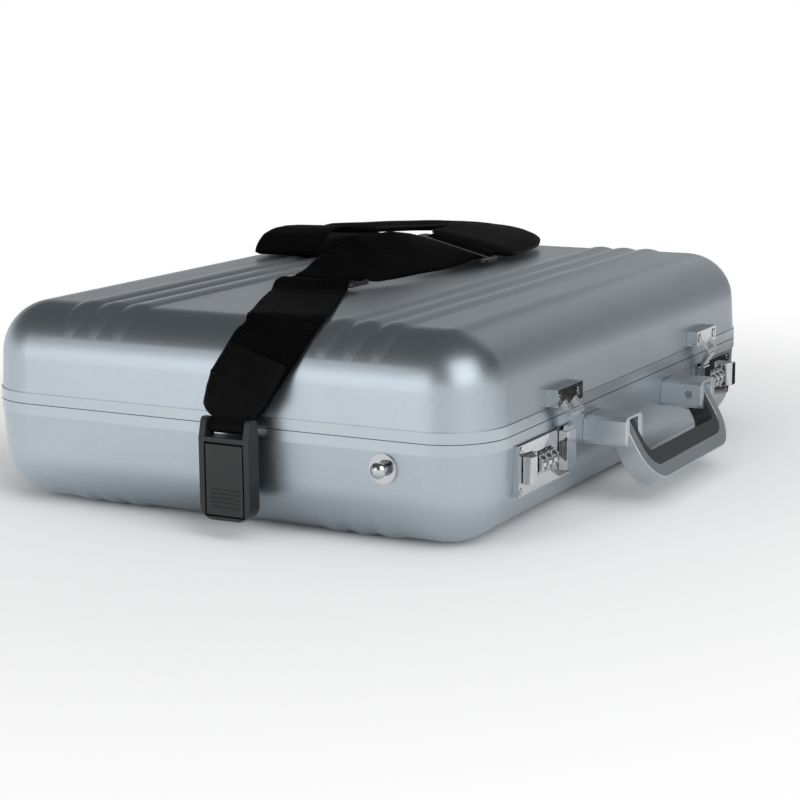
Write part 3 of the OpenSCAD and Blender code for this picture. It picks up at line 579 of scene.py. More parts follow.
@dataclass(frozen=True)
class StudioPaper(Finish):
    """Pale paper under and behind the object, which runs out to plain white away from it."""

    def build(self, tree: Tree) -> bpy.types.Material:
        """Matt paper near the object, and white to the eye and in gloss further off, except for a
        painted dark reflection in front of the case that only gloss sees.
        """
        spot = tree.place()
        tone = tree.noise(spot, 2.0, 3.0, 0.5)
        base = tree.mix(tone, tuple(0.985 * c for c in self.tint), self.tint)
        paper = tree.node("ShaderNodeBsdfDiffuse", {}, {"Color": base, "Roughness": 0.9})
        east, north, _ = tree.axes(spot)
        reach = ((east * east * 0.62) + north * north) ** 0.5
        eye, gloss, clear = (tree.node("ShaderNodeLightPath", output=f"Is {kind} Ray")
                             for kind in ("Camera", "Glossy", "Transmission"))
        plain = (east * east + north * north) ** 0.5
        towards = (east * FRONT_WAY[0] + north * FRONT_WAY[1]) / plain
        # Painted dark reflection: near the case, in a ring further out (card) and far off, the
        # paper turns black for gloss only, so metal walls facing the front show painted shade.
        near = reach.ease(0.18, 0.24) * reach.ease(0.34, 0.40, 0.5, 0.0)
        card = reach.ease(0.30, 0.36) * reach.ease(0.47, 0.57, 1.0, 0.0)
        far = reach.ease(0.9, 1.1) * 0.6
        painted_dark_reflection = towards.ease(*FRONT_SPAN) * near.most(card).most(far) * gloss
        glow = tree.mix(painted_dark_reflection * 0.97, (1.0, 1.0, 1.0), (0.0, 0.0, 0.0))
        white = tree.node("ShaderNodeEmission", {}, {"Color": glow, "Strength": 1.0})
        share = reach.ease(0.20, 0.62) * (eye + clear).least(1.0) + reach.ease(0.17, 0.32) * gloss
        surface = tree.node("ShaderNodeMixShader", {}, {0: share, 1: paper, 2: white})
        tree.node("ShaderNodeOutputMaterial", {}, {"Surface": surface})
        return tree.holder


SHELL = SatinMetal("shell_anodised", (0.465, 0.525, 0.575), 0.38, marks=0.03)
FRAME = SatinMetal("frame_anodised", (0.50, 0.56, 0.605), 0.30, (8.0, 8.0, 2400.0))
HANDLE = SatinMetal("handle_satin", (0.50, 0.55, 0.59), 0.33, (420.0, 420.0, 420.0), 0.00001)
# The mounts share the handle's satin metal; this copy is paler to paint on the highlight of their
# rounded, lit sides.
HANDLE_SATIN_PAINTED_BRIGHT = SatinMetal("mount_satin", (0.70, 0.76, 0.80), 0.44, (420.0, 420.0, 420.0), 0.00001)
CHROME = BrightMetal("chrome_plate", (0.55, 0.565, 0.58), 0.045, 0.03)
STEEL = SatinMetal("steel_bar", (0.50, 0.50, 0.50), 0.26, (20.0, 1500.0, 1500.0), 0.00002)
STRIKER = BrightMetal("striker_nickel", (0.52, 0.53, 0.545), 0.09, 0.05)
SEAL = SoftRubber("seal_rubber", (0.02, 0.02, 0.021))
FLOCK = FlockedLining("flocked_lining", (0.035, 0.036, 0.04))
ORGANISER = WovenCloth("organiser_cloth", (0.022, 0.023, 0.026), 0.0009)
WEBBING = WovenWebbing("strap_webbing", (0.0022, 0.0022, 0.0026))
BINDING = WovenCloth("edge_binding", (0.016, 0.016, 0.018), 0.0007)
PAD = WovenCloth("pad_cloth", (0.0045, 0.0045, 0.005), 0.0013, 0.0003, 1.7, 0.005)
LEATHER = GrainLeather("tab_leather", (0.0036, 0.0036, 0.004))
THREAD = TwistedThread("seam_thread", (0.0085, 0.0085, 0.009))
CLIP = MouldedPlastic("clip_nylon", (0.0115, 0.0135, 0.014), 0.46)
SLIDE = MouldedPlastic("slide_nylon", (0.012, 0.012, 0.013), 0.24, 1500.0, 0.00002)
GRIP = MouldedPlastic("grip_insert_grain", (0.022, 0.024, 0.027), 0.48, 1100.0, 0.00006)
FIGURE = FillPaint("dial_figures", (0.012, 0.012, 0.013))
PAPER = StudioPaper("studio_paper", (0.86, 0.865, 0.87))


# --------------------------------------------------------------------------------------------
# Mesh helpers
# --------------------------------------------------------------------------------------------


def finished(name: str, bm: bmesh.types.BMesh, finishes: Sequence[Finish], body: str,
             outwards: bool = True) -> bpy.types.Object:
    """Turns a bmesh into a piece of the object.

    Args:
        name: The piece's name.
        bm: Its mesh in metres, in the frame's own place; freed here.
        finishes: Its materials, by face material index.
        body: The body that it rides on.
        outwards: Whether the faces are turned to point outwards.

    Returns:
        The object.
    """
    if outwards:
        bmesh.ops.recalc_face_normals(bm, faces=bm.faces[:])
    for face in bm.faces:
        face.smooth = True
    mesh = bpy.data.meshes.new(name)
    bm.to_mesh(mesh)
    bm.free()
    for finish in finishes:
        mesh.materials.append(finish.material())
    piece = bpy.data.objects.new(name, mesh)
    bpy.context.scene.collection.objects.link(piece)
    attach(piece, body)
    return piece


def mapped_grid(bm: bmesh.types.BMesh, across: int, along: int,
                where: Callable[[float, float], Vector], size: tuple[float, float],
                material: int = 0, turn_over: bool = False) -> list[bmesh.types.BMVert]:
    """Adds a grid whose points are moved onto a surface, with a map in metres.

    Args:
        bm: The mesh that gets it.
        across: Cells across, which run from -1 to 1.
        along: Cells along, which run from 0 to 1.
        where: Gives the place of a point of the grid.
        size: Width and length in metres, for the map.
        material: Material index of its faces.
        turn_over: Whether its faces look the other way.

    Returns:
        Its vertices.
    """
    layer = bm.loops.layers.uv.verify()
    made = bmesh.ops.create_grid(bm, x_segments=across, y_segments=along, size=1.0)["verts"]
    flat = {vert: (vert.co.x, 0.5 + vert.co.y / 2) for vert in made}
    faces = {face for vert in made for face in vert.link_faces}
    for face in faces:
        face.material_index = material
        for loop in face.loops:
            u, v = flat[loop.vert]
            loop[layer].uv = (u * size[0] / 2, v * size[1])
    for vert, (u, v) in flat.items():
        vert.co = where(u, v)
    if turn_over:
        bmesh.ops.reverse_faces(bm, faces=list(faces))
    return made


def tube(bm: bmesh.types.BMesh, path: Sequence[Vector], radius: float, closed: bool = False,
         material: int = 0) -> None:
    """Adds a round cord along a path.

    Args:
        bm: The mesh that gets it.
        path: Its middle line in metres.
        radius: Its radius.
        closed: Whether its end joins its start.
        material: Material index.
    """
    count = len(path)
    last = count if closed else count - 1
    lengths = [0.0]
    for k in range(last):
        lengths.append(lengths[-1] + (path[(k + 1) % count] - path[k % count]).length)
    frames = []
    up = Vector((0, 0, 1))
    for k in range(last + 1):
        before = path[(k - 1) % count] if closed or k > 0 else path[0]
        after = path[(k + 1) % count] if closed or k < count - 1 else path[-1]
        ahead = (after - before).normalized()
        side = ahead.cross(up)
        if side.length < 1e-4:
            side = ahead.cross(Vector((1, 0, 0)))
        side.normalize()
        frames.append((path[k % count], side, side.cross(ahead)))

    def place(u: float, v: float) -> Vector:
        """A point on the cord."""
        middle, side, over = frames[round(v * last)]
        turn = math.pi * u
        return middle + radius * (math.cos(turn) * side + math.sin(turn) * over)

    made = mapped_grid(bm, CORD_SIDES, last, place, (2 * math.pi * radius, lengths[-1]), material)
    bmesh.ops.remove_doubles(bm, verts=made, dist=radius * 0.02)
    if not closed:
        rim = [edge for end in (path[0], path[-1]) for edge in bm.edges if edge.is_boundary
               and (edge.verts[0].co - end).length < radius * 1.2]
        bmesh.ops.holes_fill(bm, edges=rim, sides=0)


def stitches(bm: bmesh.types.BMesh, path: Sequence[Vector], up: Sequence[Vector], pitch: float,
             thick: float) -> None:
    """Adds a row of sewn stitches along a path.

    Args:
        bm: The mesh that gets them.
        path: Points of the row in metres.
        up: Direction off the surface at each point.
        pitch: Length from stitch to stitch.
        thick: The thread's thickness.
    """
    gone = 0.0
    for k in range(len(path) - 1):
        span = path[k + 1] - path[k]
        if span.length < 1e-6:
            continue
        place = (pitch - gone) % pitch
        while place < span.length:
            spot = path[k] + span.normalized() * place
            ahead = span.normalized()
            over = (up[k] - ahead * up[k].dot(ahead)).normalized()
            turn = Matrix((ahead, over.cross(ahead), over)).transposed().to_4x4()
            size = Matrix.Diagonal((pitch * 0.41, thick * 0.6, thick * 0.5, 1.0))
            made = bmesh.ops.create_uvsphere(bm, u_segments=6, v_segments=4, radius=1.0,
                                             matrix=Matrix.Translation(spot) @ turn @ size)
            for vert in made["verts"]:
                for face in vert.link_faces:
                    face.material_index = SEWN
            place += pitch
        gone = (gone + span.length) % pitch


def body_of(node: str) -> str:
    """The body that a node of the frame rides on."""
    bodies = frame["record"]["behaviour"]["bodies"]
    return next(body for body, members in bodies.items() if node in members)


def softened(node: str, width: float, finish: Finish, angle: float = 32.0,
             corners: float = 0.0, corner_height: float = 0.0, broad: float = 0.0,
             heart: Optional[Vector] = None) -> bpy.types.Object:
    """Replaces a rigid node by a copy whose edges are rounded as a real part's are.

    Args:
        node: The node.
        width: Width of the rounding along its edges, in millimetres.
        finish: Its finish.
        angle: Angle between faces, in degrees, past which an edge is rounded.
        corners: Radius of its two lower corners seen from the end of the case, in millimetres.
        corner_height: Height of the face at those corners, in millimetres.
        broad: Wider rounding, in millimetres, of the edges of faces that look away from the heart.
        heart: A point in the opening of a bow, in metres.

    Returns:
        The piece.
    """
    bm = bmesh.new()
    bm.from_mesh(frame["nodes"][node].data)
    bmesh.ops.remove_doubles(bm, verts=bm.verts[:], dist=WELD)
    bmesh.ops.dissolve_limit(bm, angle_limit=math.radians(0.8), use_dissolve_boundaries=False,
                             verts=bm.verts[:], edges=bm.edges[:], delimit=set())
    if corners:
        low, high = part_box(node)
        chosen = [edge for edge in bm.edges
                  if all(abs(v.co.z - corner_height * MM) < 2e-5 for v in edge.verts)
                  and all(min(abs(v.co.y - low.y), abs(v.co.y - high.y)) < 2e-5 for v in edge.verts)
                  and abs(edge.verts[0].co.y - edge.verts[1].co.y) < 2e-5]
        bmesh.ops.bevel(bm, geom=chosen, offset=corners * MM, offset_type="OFFSET", segments=8,
                        profile=0.5, affect="EDGES", clamp_overlap=True, material=-1)
    if heart is not None:
        out = {face for face in bm.faces
               if face.normal.dot((face.calc_center_median() - heart).normalized()) > 0.5}
        chosen = [edge for edge in bm.edges
                  if edge.is_manifold and edge.calc_face_angle(0.0) > math.radians(60)
                  and any(face in out for face in edge.link_faces)]
        bmesh.ops.bevel(bm, geom=chosen, offset=broad * MM, offset_type="OFFSET", segments=4,
                        profile=0.5, affect="EDGES", clamp_overlap=True, material=-1)
    sharp = [edge for edge in bm.edges
             if edge.is_manifold and edge.calc_face_angle(0.0) > math.radians(angle)]
    bmesh.ops.bevel(bm, geom=sharp, offset=width * MM, offset_type="OFFSET", segments=3,
                    profile=0.5, affect="EDGES", clamp_overlap=True, material=-1)
    piece = finished(f"{node}_rounded", bm, [finish], body_of(node), False)
    piece.data.set_sharp_from_angle(angle=math.radians(30))
    even = piece.modifiers.new("even_shading", "WEIGHTED_NORMAL")
    even.mode = "FACE_AREA"
    even.keep_sharp = True
    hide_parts(node)
    LOG.info("rounded %s", node)
    return piece


def dress_node(node: str, finish: Finish) -> None:
    """Gives a node of the frame its finish."""
    slots = frame["nodes"][node].data.materials
    slots.clear()
    slots.append(finish.material())
    LOG.info("dressed %s", node)


# --------------------------------------------------------------------------------------------
# Bands: webbing, tabs and pad follow stations
# --------------------------------------------------------------------------------------------


@dataclass(frozen=True)
class Station:
    """A place on a band: its middle, the direction across it and its width, in millimetres."""

    point: Vector
    across: Vector
    width: float


def station(x: float, y: float, z: float, across: Vector, width: float = WEB_W) -> Station:
    """A station from plain numbers."""
    return Station(Vector((x, y, z)), across.normalized(), width)


def lean(turn: float, tilt: float) -> Vector:
    """Direction across a band that heads this way in plan and leans up on its left, in degrees."""
    a, b = math.radians(turn), math.radians(tilt)
    return Vector((-math.sin(a) * math.cos(b), math.cos(a) * math.cos(b), math.sin(b)))


def hang_end(y: float, veer: float, radius: float) -> list[Station]:
    """Stations from the clip up round an end shoulder.

    Args:
        y: The clip's place across the case.
        veer: How far the band veers to the front, from 0 to 1.
        radius: Radius on the shoulder.

    Returns:
        The stations for the left end.
    """
    level = Vector((0, 1, 0))
    made = [station(-238.5, y, 72.0, level, 24), station(-238.2, y, 76.0, level, 37),
            station(-237.5, y - 3 * veer, 84.0, Vector((0, 1, 0.1 * veer)), 40),
            station(-236.3, y - 6 * veer, 90.0, Vector((0, 1, 0.2 * veer)), 44)]
    for k, (shift, swing) in enumerate(zip((-14, -16, -17.3, -17.8, -17.8, -17.3, -15.9, -13.5),
                                           (-18, -13, -7, 0, 6, 12, 18, 23))):
        turn, skew = math.radians(56 - 8 * k), math.radians(veer * swing)
        across = Vector((-math.cos(turn) * math.sin(skew), math.cos(skew),
                         -math.sin(turn) * math.sin(skew)))
        made.append(station(-END_X - radius * math.sin(turn), y + veer * shift,
                            END_Z + radius * math.cos(turn), across))
    return made


def mirrored(stations: Sequence[Station]) -> list[Station]:
    """The same stations at the other end, run backwards."""
    return [Station(Vector((-s.point.x, s.point.y, s.point.z)),
                    Vector((s.across.x, -s.across.y, -s.across.z)), s.width)
            for s in reversed(stations)]


class Band:
    """A smooth band along stations; its points go by length, place across and height."""

    def __init__(self, stations: Sequence[Station], step: float = 1.5, passes: int = 4) -> None:
        """Samples the stations finely and rounds their corners.

        Args:
            stations: The band's stations.
            step: Distance between samples in millimetres.
            passes: Rounds of smoothing.
        """
        points, across, widths = [], [], []
        for first, second in zip(stations, stations[1:]):
            count = max(1, round((second.point - first.point).length / step))
            for k in range(count):
                t = k / count
                points.append(first.point.lerp(second.point, t))
                across.append(first.across.lerp(second.across, t).normalized())
                widths.append(first.width + (second.width - first.width) * t)
        points.append(stations[-1].point.copy())
        across.append(stations[-1].across.copy())
        widths.append(stations[-1].width)
        for _ in range(passes):
            points = self._eased(points)
            across = [a.normalized() for a in self._eased(across)]
        self.points = [p * MM for p in points]
        self.across = across
        self.widths = [w * MM for w in widths]
        self.count = len(points) - 1
        self.lengths = [0.0]
        for first, second in zip(self.points, self.points[1:]):
            self.lengths.append(self.lengths[-1] + (second - first).length)
        self.up = []
        for k in range(self.count + 1):
            ahead = self.points[min(k + 1, self.count)] - self.points[max(k - 1, 0)]
            self.up.append(ahead.normalized().cross(self.across[k]).normalized())
            self.across[k] = self.up[k].cross(ahead.normalized()).normalized()

    @staticmethod
    def _eased(values: list[Vector]) -> list[Vector]:
        """One round of smoothing with the ends kept."""
        inner = [(values[k - 1] + values[k] * 2 + values[k + 1]) / 4
                 for k in range(1, len(values) - 1)]
        return [values[0], *inner, values[-1]]

    @property
    def length(self) -> float:
        """Its length in metres."""
        return self.lengths[-1]

    def area(self) -> float:
        """Its flat area in square metres."""
        return sum((b - a) * (v + w) / 2 for a, b, v, w in
                   zip(self.lengths, self.lengths[1:], self.widths, self.widths[1:]))

    def at(self, k: int, side: float, height: float) -> Vector:
        """A point at a sample.

        Args:
            k: The sample.
            side: Place across, from -1 to 1.
            height: Distance off the middle, in metres.

        Returns:
            The point in metres.
        """
        k = max(0, min(self.count, k))
        return self.points[k] + self.across[k] * side * self.widths[k] / 2 + self.up[k] * height

    def strip(self, thick: float, cells: int, ripple: float = 0.0) -> bmesh.types.BMesh:
        """A closed strip of this thickness, with softly rounded edges.

        Args:
            thick: Thickness in metres.
            cells: Cells across.
            ripple: Height of the slow waves along its edges.

        Returns:
            The mesh.
        """
        bm = bmesh.new()
        size = (max(self.widths), self.length)

        def face(sign: int) -> Callable[[float, float], Vector]:
            """One face of the strip."""
            def place(u: float, v: float) -> Vector:
                """A point of the face."""
                k = round(v * self.count)
                side = math.copysign(abs(u) ** 0.85, u)
                edge = max(0.0, (abs(side) - 0.955) / 0.045)
                end = max(0.0, 1 - min(k, self.count - k) * 0.8)
                full = math.sqrt(max(0.0, 1 - min(1.0, max(edge, end)) ** 2))
                wave = ripple * abs(side) ** 3 * math.sin(self.lengths[k] * 95 + (u > 0) * 2.1)
                return self.at(k, side, sign * full * thick / 2 + wave)
            return place

        top = mapped_grid(bm, cells, self.count, face(1), size)
        under = mapped_grid(bm, cells, self.count, face(-1), size, turn_over=True)
        bmesh.ops.remove_doubles(bm, verts=top + under, dist=WELD)
        return bm


# A slide's bars, the free gap between them and its thickness; the play left to the webbing
SLIDE_BAR = 4.0
SLIDE_GAP = 5.0
SLIDE_T = 2.4
TOUCH = 0.3
WAVE = SLIDE_T / 2 + WEB_T / 2 + TOUCH
SLIDE_STEP = SLIDE_BAR + SLIDE_GAP + WEB_T


def through(x: float, y: float, z: float, tilt: float) -> list[Station]:
    """Stations over, under and over the three bars of a slide.

    Args:
        x: The slide's middle along the case.
        y: The slide's middle across it.
        z: The slide's middle height.
        tilt: How far it leans, in degrees.

    Returns:
        Six stations.
    """
    lean_by = math.radians(tilt)
    reach = SLIDE_BAR / 2 + TOUCH
    across = Vector((0, math.cos(lean_by), math.sin(lean_by)))
    made = []
    for dx, dn in ((-SLIDE_STEP - reach, WAVE), (-SLIDE_STEP + reach, WAVE), (-reach, -WAVE),
                   (reach, -WAVE), (SLIDE_STEP - reach, WAVE), (SLIDE_STEP + reach, WAVE)):
        made.append(station(x + dx, y - dn * math.sin(lean_by), z + dn * math.cos(lean_by), across))
    return made


LEFT_END = hang_end(CLIP_Y_LEFT, 1.0, SHOULDER_R + 0.8 + WEB_T / 2)
RIGHT_END = hang_end(CLIP_Y_RIGHT, 0.0, SHOULDER_R + 1.5 + 0.6 + WEB_T / 2)
SLIDE_LEFT = (-78.0, 11.0, FACE_Z + WAVE + WEB_T / 2 + 1)
SLIDE_RIGHT = (72.0, -11.0, FACE_Z + 10.8)

FRONT_RUN = [*LEFT_END[2:],
             station(-END_X + 12, -28.1, FACE_Z + 1.4, lean(23, 0)),
             station(-124, -2.3, FACE_Z + 1.4, lean(23, 0)),
             station(-104, 5.5, FACE_Z + 2.2, lean(14, 0)),
             *through(*SLIDE_LEFT, 0),
             station(-50, 8, FACE_Z + 9.5, lean(-10, 16)),
             station(-20, -1, FACE_Z + 14.5, lean(-12, 28)),
             station(18, -8, FACE_Z + 15, lean(-8, 29)),
             station(42, -10.5, FACE_Z + 13.8, lean(-2, 22)),
             *through(*SLIDE_RIGHT, 14),
             station(90, -11, FACE_Z + 11.8, lean(0, 12)),
             station(100, -10.7, FACE_Z + 11.7, lean(1, 12))]

BACK_RUN = [station(143, 114.9, FACE_Z + 12.7, lean(157, 4)),
            station(134, 118.8, FACE_Z + 13.2, lean(158, 4)),
            station(118, 122.6, FACE_Z + 16, lean(168, 3)),
            station(100, 122.4, FACE_Z + 17.5, lean(178, 2)),
            station(82, 119.8, FACE_Z + 17.5, lean(186, 1)),
            station(66, 116.6, FACE_Z + 15, lean(189, 0)),
            station(54, 114.5, FACE_Z + 10.4, lean(187, 0)),
            station(48.5, 113.8, FACE_Z + 6.9, lean(184, 0)),
            station(46.4, 113.6, FACE_Z + 4.9, lean(182, 0)),
            station(48.5, 113.8, CASE_H + 1.4, lean(184, 0)),
            station(60, 115.8, CASE_H + 1.4, lean(190, 0)),
            station(110, 126.6, CASE_H + 1.4, lean(192, 0)),
            station(150, 135.6, CASE_H + 1.4, lean(190, 0)),
            station(END_X - 8, CLIP_Y_RIGHT, CASE_H + 1.4, lean(182, 0)),
            *mirrored(RIGHT_END)[:10]]

PAD_RUN = [station(x, y, FACE_Z + rise, lean(turn, tip), PAD_W)
           for x, y, rise, turn, tip in ((92, -11, 11.7, 0, 12), (120, -10, 11.7, 3, 12),
                                         (148, -6, 11.9, 14, 12), (172, 4, 12.1, 32, 10),
                                         (190, 22, 12, 58, 8), (198, 46, 11.7, 85, 6),
                                         (195, 71, 11.5, 112, 5), (180, 93, 11.5, 138, 5),
                                         (158, 108, 12, 152, 5), (136, 118, 13, 158, 4))]


class ShoulderStrap:
    """The strap that lies over the lid: webbing runs, end tabs, slides, clips and the pad."""

    def build(self) -> None:
        """Builds every piece of the strap."""
        self.webbing("webbing_front", FRONT_RUN)
        self.webbing("webbing_return", BACK_RUN)
        for side in Side:
            self.tab(side)
            softened(f"strap_clip_{side.word}", 0.7, CLIP, 40, 9.0, 12.0)
            softened(f"clip_tongue_{side.word}", 0.5, CLIP, 40, 3.5, 15.0)
            softened(f"web_slide_{side.word}", 0.6, SLIDE, 40)
        self.pad()

    def webbing(self, node: str, run: Sequence[Station]) -> None:
        """Builds one run of webbing.

        Args:
            node: The node that it replaces.
            run: Its stations.
        """
        band = Band(run)
        bm = band.strip(WEB_T * MM, 16, 0.0002)
        piece = finished(f"{node}_woven", bm, [WEBBING], "strap")
        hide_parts(node)
        min(band.area(), WEB_W * MM * band.length)
        LOG.info("built %s, %.0f mm long", piece.name, band.length / MM)

    def tab(self, side: Side) -> None:
        """Builds the leather tab that goes round a clip's bar and up over the webbing's end.

        Args:
            side: The end of the case.
        """
        left = side is Side.LEFT
        y, climb = (CLIP_Y_LEFT, LEFT_END[:5]) if left else (CLIP_Y_RIGHT, RIGHT_END[:5])
        gap, slant = 3.1, 0.7 * 3.1
        loop = [station(-BAR_X + out, y, BAR_Z + rise, Vector((0, 1, 0)), 24)
                for out, rise in ((gap + 0.4, 3.4), (gap, 0.0), (slant, -slant), (0.0, -gap),
                                  (-slant, -slant), (-gap, 0.0), (-slant, slant))]
        over = []
        for k, s in enumerate(climb):
            ahead = climb[min(k + 1, 4)].point - climb[max(k - 1, 0)].point
            lift = ahead.normalized().cross(s.across).normalized()
            if k < 4:
                over.append(Station(s.point + lift * 1.95, s.across, min(44.0, s.width)))
            else:
                tip = climb[3].point.lerp(s.point, 0.8) + lift * 2.35
                over.append(station(*tip, Vector((0, 1, 0.4 * climb[3].across.z)), 44.0))
        band = Band(loop + over, 0.9, 3)
        bm = band.strip(TAB_T * MM, 18)
        top, low = band.count - 4, band.count - 26
        steps = 12

        def row(path: list[tuple[int, float]]) -> None:
            """Sews one row through samples and places across."""
            points, ups = [], []
            for (k0, u0), (k1, u1) in zip(path, path[1:]):
                for t in range(steps + 1):
                    k = round(k0 + (k1 - k0) * t / steps)
                    points.append(band.at(k, u0 + (u1 - u0) * t / steps, 0.0010))
                    ups.append(band.up[max(0, min(band.count, k))])
            stitches(bm, points, ups, 0.0030, 0.0007)

        row([(top, -0.9), (top, 0.9), (low, 0.9), (low, -0.9), (top, -0.9)])
        row([(top, -0.9), (low, 0.9)])
        row([(top, 0.9), (low, -0.9)])
        for sign in (1, -1):
            row([(low - 3, 0.9 * sign), (low - 14, 0.88 * sign)])
        if side is Side.RIGHT:
            bmesh.ops.transform(bm, matrix=Matrix.Diagonal((-1, 1, 1, 1)), verts=bm.verts[:])
        name = f"strap_tab_{side.word}"
        piece = finished(f"{name}_leather", bm, [LEATHER, THREAD], "strap")
        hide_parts(name)
        band.area()
        LOG.info("built %s", piece.name)

    def pad(self) -> None:
        """Builds the shoulder pad: a crowned foam form with a sewn channel and a bound edge."""
        band = Band(PAD_RUN, 2.4, 6)
        bm = bmesh.new()
        size = (PAD_W * MM, band.length)
        thick = 0.0078
        seam = 0.78

        def face(sign: int) -> Callable[[float, float], Vector]:
            """Top or underside."""
            def place(u: float, v: float) -> Vector:
                """A point on the crowned form."""
                k = round(v * band.count)
                run = band.lengths[k]
                end = min(run, band.length - run) / 0.012
                taper = 1 - max(0.0, 1 - end) ** 2 * 0.30
                side = math.copysign(1 - (1 - abs(u)) ** 1.35, u)
                edge = max(0.0, 1 - abs(side) ** 7) ** 0.5
                tip = min(1.0, math.sqrt(max(0.0, min(run, band.length - run)) / 0.005))
                channel = math.exp(-((abs(side) - seam) / 0.035) ** 2) * 0.32
                crown = (0.86 + 0.14 * math.cos(side * 1.4)) * (1 - channel) * edge * tip
                dimple = 0.02 * math.sin(run * 210) * (1 - side * side)
                return band.at(k, side * taper, sign * thick / 2 * (crown + dimple * tip * edge))
            return place

        top = mapped_grid(bm, 34, band.count, face(1), size)
        under = mapped_grid(bm, 34, band.count, face(-1), size, turn_over=True)
        bmesh.ops.remove_doubles(bm, verts=top + under, dist=WELD)
        inner = range(5, band.count - 4)
        for side in (-seam, seam):
            points = [band.at(k, side, 0.0029) for k in inner]
            stitches(bm, points, [band.up[k] for k in inner], 0.0034, 0.0007)
        piece = finished("shoulder_pad_foam", bm, [PAD, THREAD], "strap")
        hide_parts("shoulder_pad")
        rim = bmesh.new()
        line = [band.at(k, 0.985, 0) for k in range(4, band.count - 3)]
        line += [band.at(k, -0.985, 0) for k in range(band.count - 4, 3, -1)]
        tube(rim, line, CORD_RADIUS, closed=True)
        edge = finished("shoulder_pad_piping", rim, [BINDING], "strap")
        LOG.info("built %s and %s", piece.name, edge.name)


# --------------------------------------------------------------------------------------------
# The case
# --------------------------------------------------------------------------------------------


class CaseBody:
    """Shells, frames, seal, rivets and hinge."""

    def build(self) -> None:
        """Dresses the nodes of the case itself."""
        for node in ("base_shell", "lid_shell"):
            dress_node(node, SHELL)
        for node in ("base_frame", "lid_frame"):
            dress_node(node, FRAME)
        for node in ("base_rivets", "lid_rivets", "hinge_base_leaf", "hinge_lid_leaf", "hinge_pin"):
            dress_node(node, STEEL)
        dress_node("lid_seal", SEAL)
        for side in Side:
            dress_node(f"strap_post_{side.word}", CHROME)


@dataclass
class FlockedLiner:
    """The formed liner of a shell, with a rolled fabric edge.

    Sizes are in millimetres; the liner's walls follow the shell's own profile at a set distance.
    """

    node: str
    body: str
    rim: float
    turned_over: bool
    inset: float = 1.8
    thick: float = 1.2

    def profile(self, inset: float) -> list[tuple[float, float]]:
        """Distance outwards from the corners' middle and height, from the floor to the rim."""
        drop = (self.rim - RIB_H - SHOULDER_R) * math.sin(DRAFT)
        centre = SHELL_R - (SHOULDER_R + drop) / math.cos(DRAFT)
        radius = SHOULDER_R - inset
        face = RIB_H + inset
        line = [(centre, face)]
        for k in range(1, 13):
            turn = math.radians(87 * k / 12)
            line.append((centre + radius * math.sin(turn), face + radius * (1 - math.cos(turn))))
        x, z = line[-1]
        top = self.rim - 6.6
        for k in range(1, 5):
            height = z + (top - z) * k / 4
            line.append((x + (height - z) * math.tan(DRAFT), height))
        return line

    def build(self) -> None:
        """Builds the liner and its edge."""
        bm = bmesh.new()
        steps = 192
        rings = [self.profile(self.inset + 0.02), self.profile(self.inset + self.thick)]
        for index, line in enumerate(rings):
            line = [(line[0][0] * 0.5, line[0][1]), *line]
            count = len(line) - 1

            def place(u: float, v: float, line: list = line, count: int = count) -> Vector:
                """A point of one wall, round the plan."""
                out, height = line[round(v * count)]
                return self.on_plan(u, out, height)
            mapped_grid(bm, steps // 2, count, place, (1.5, 0.6), turn_over=index == 0)
        bmesh.ops.remove_doubles(bm, verts=bm.verts[:], dist=1e-6)
        top = self.profile(self.inset)[-1][1]
        open_edges = [edge for edge in bm.edges if edge.is_boundary]
        rims = [edge for edge in open_edges if abs(self.height(edge.verts[0].co.z) - top) < 0.5]
        floors = [edge for edge in open_edges if edge not in rims]
        bmesh.ops.bridge_loops(bm, edges=rims)
        bmesh.ops.holes_fill(bm, edges=floors, sides=0)
        piece = finished(f"{self.node}_flocked", bm, [FLOCK], self.body)
        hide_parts(self.node)
        rim = bmesh.new()
        out, height = self.profile(self.inset + self.thick / 2)[-1]
        path, inner = ([self.on_plan(-1 + 2 * k / steps, out - back, height - drop)
                        for k in range(steps)] for back, drop in ((0.6, 0.3), (1.7, 4.0)))
        tube(rim, path, CORD_RADIUS, closed=True)
        ups = [Vector((0, 0, -1 if self.turned_over else 1))] * (steps + 1)
        stitches(rim, [*inner, inner[0]], ups, 0.005, 0.0006)
        edge = finished(f"{self.node}_rolled_edge", rim, [BINDING, THREAD], self.body)
        LOG.info("built %s and %s", piece.name, edge.name)

    def height(self, z: float) -> float:
        """Height over the shell's own face, in millimetres, of a place in metres."""
        return CASE_H - z / MM if self.turned_over else z / MM

    def on_plan(self, u: float, out: float, height: float) -> Vector:
        """A point round the rounded plan.

        Args:
            u: Place round the plan, from -1 to 1.
            out: Distance outwards from the corners' middle.
            height: Height over the face.

        Returns:
            The point in metres.
        """
        quarter = (u + 1) * 2
        corner = min(3, int(quarter))
        share = quarter - corner
        turn = math.pi / 2 * (corner + min(1.0, max(0.0, (share - 0.2) / 0.6)))
        sign_x = 1 if corner in (0, 3) else -1
        sign_y = 1 if corner in (0, 1) else -1
        x = sign_x * SIDE_X + out * math.cos(turn)
        y = sign_y * SIDE_Y + out * math.sin(turn)
        # The straight sides take up the rest of each quarter
        if share < 0.2:
            pull = (0.2 - share) / 0.2
            if corner in (0, 2):
                y *= 1 - pull
            else:
                x *= 1 - pull
        elif share > 0.8:
            pull = (share - 0.8) / 0.2
            if corner in (0, 2):
                x *= 1 - pull
            else:
                y *= 1 - pull
        z = CASE_H - height if self.turned_over else height
        return Vector((x, y, z)) * MM


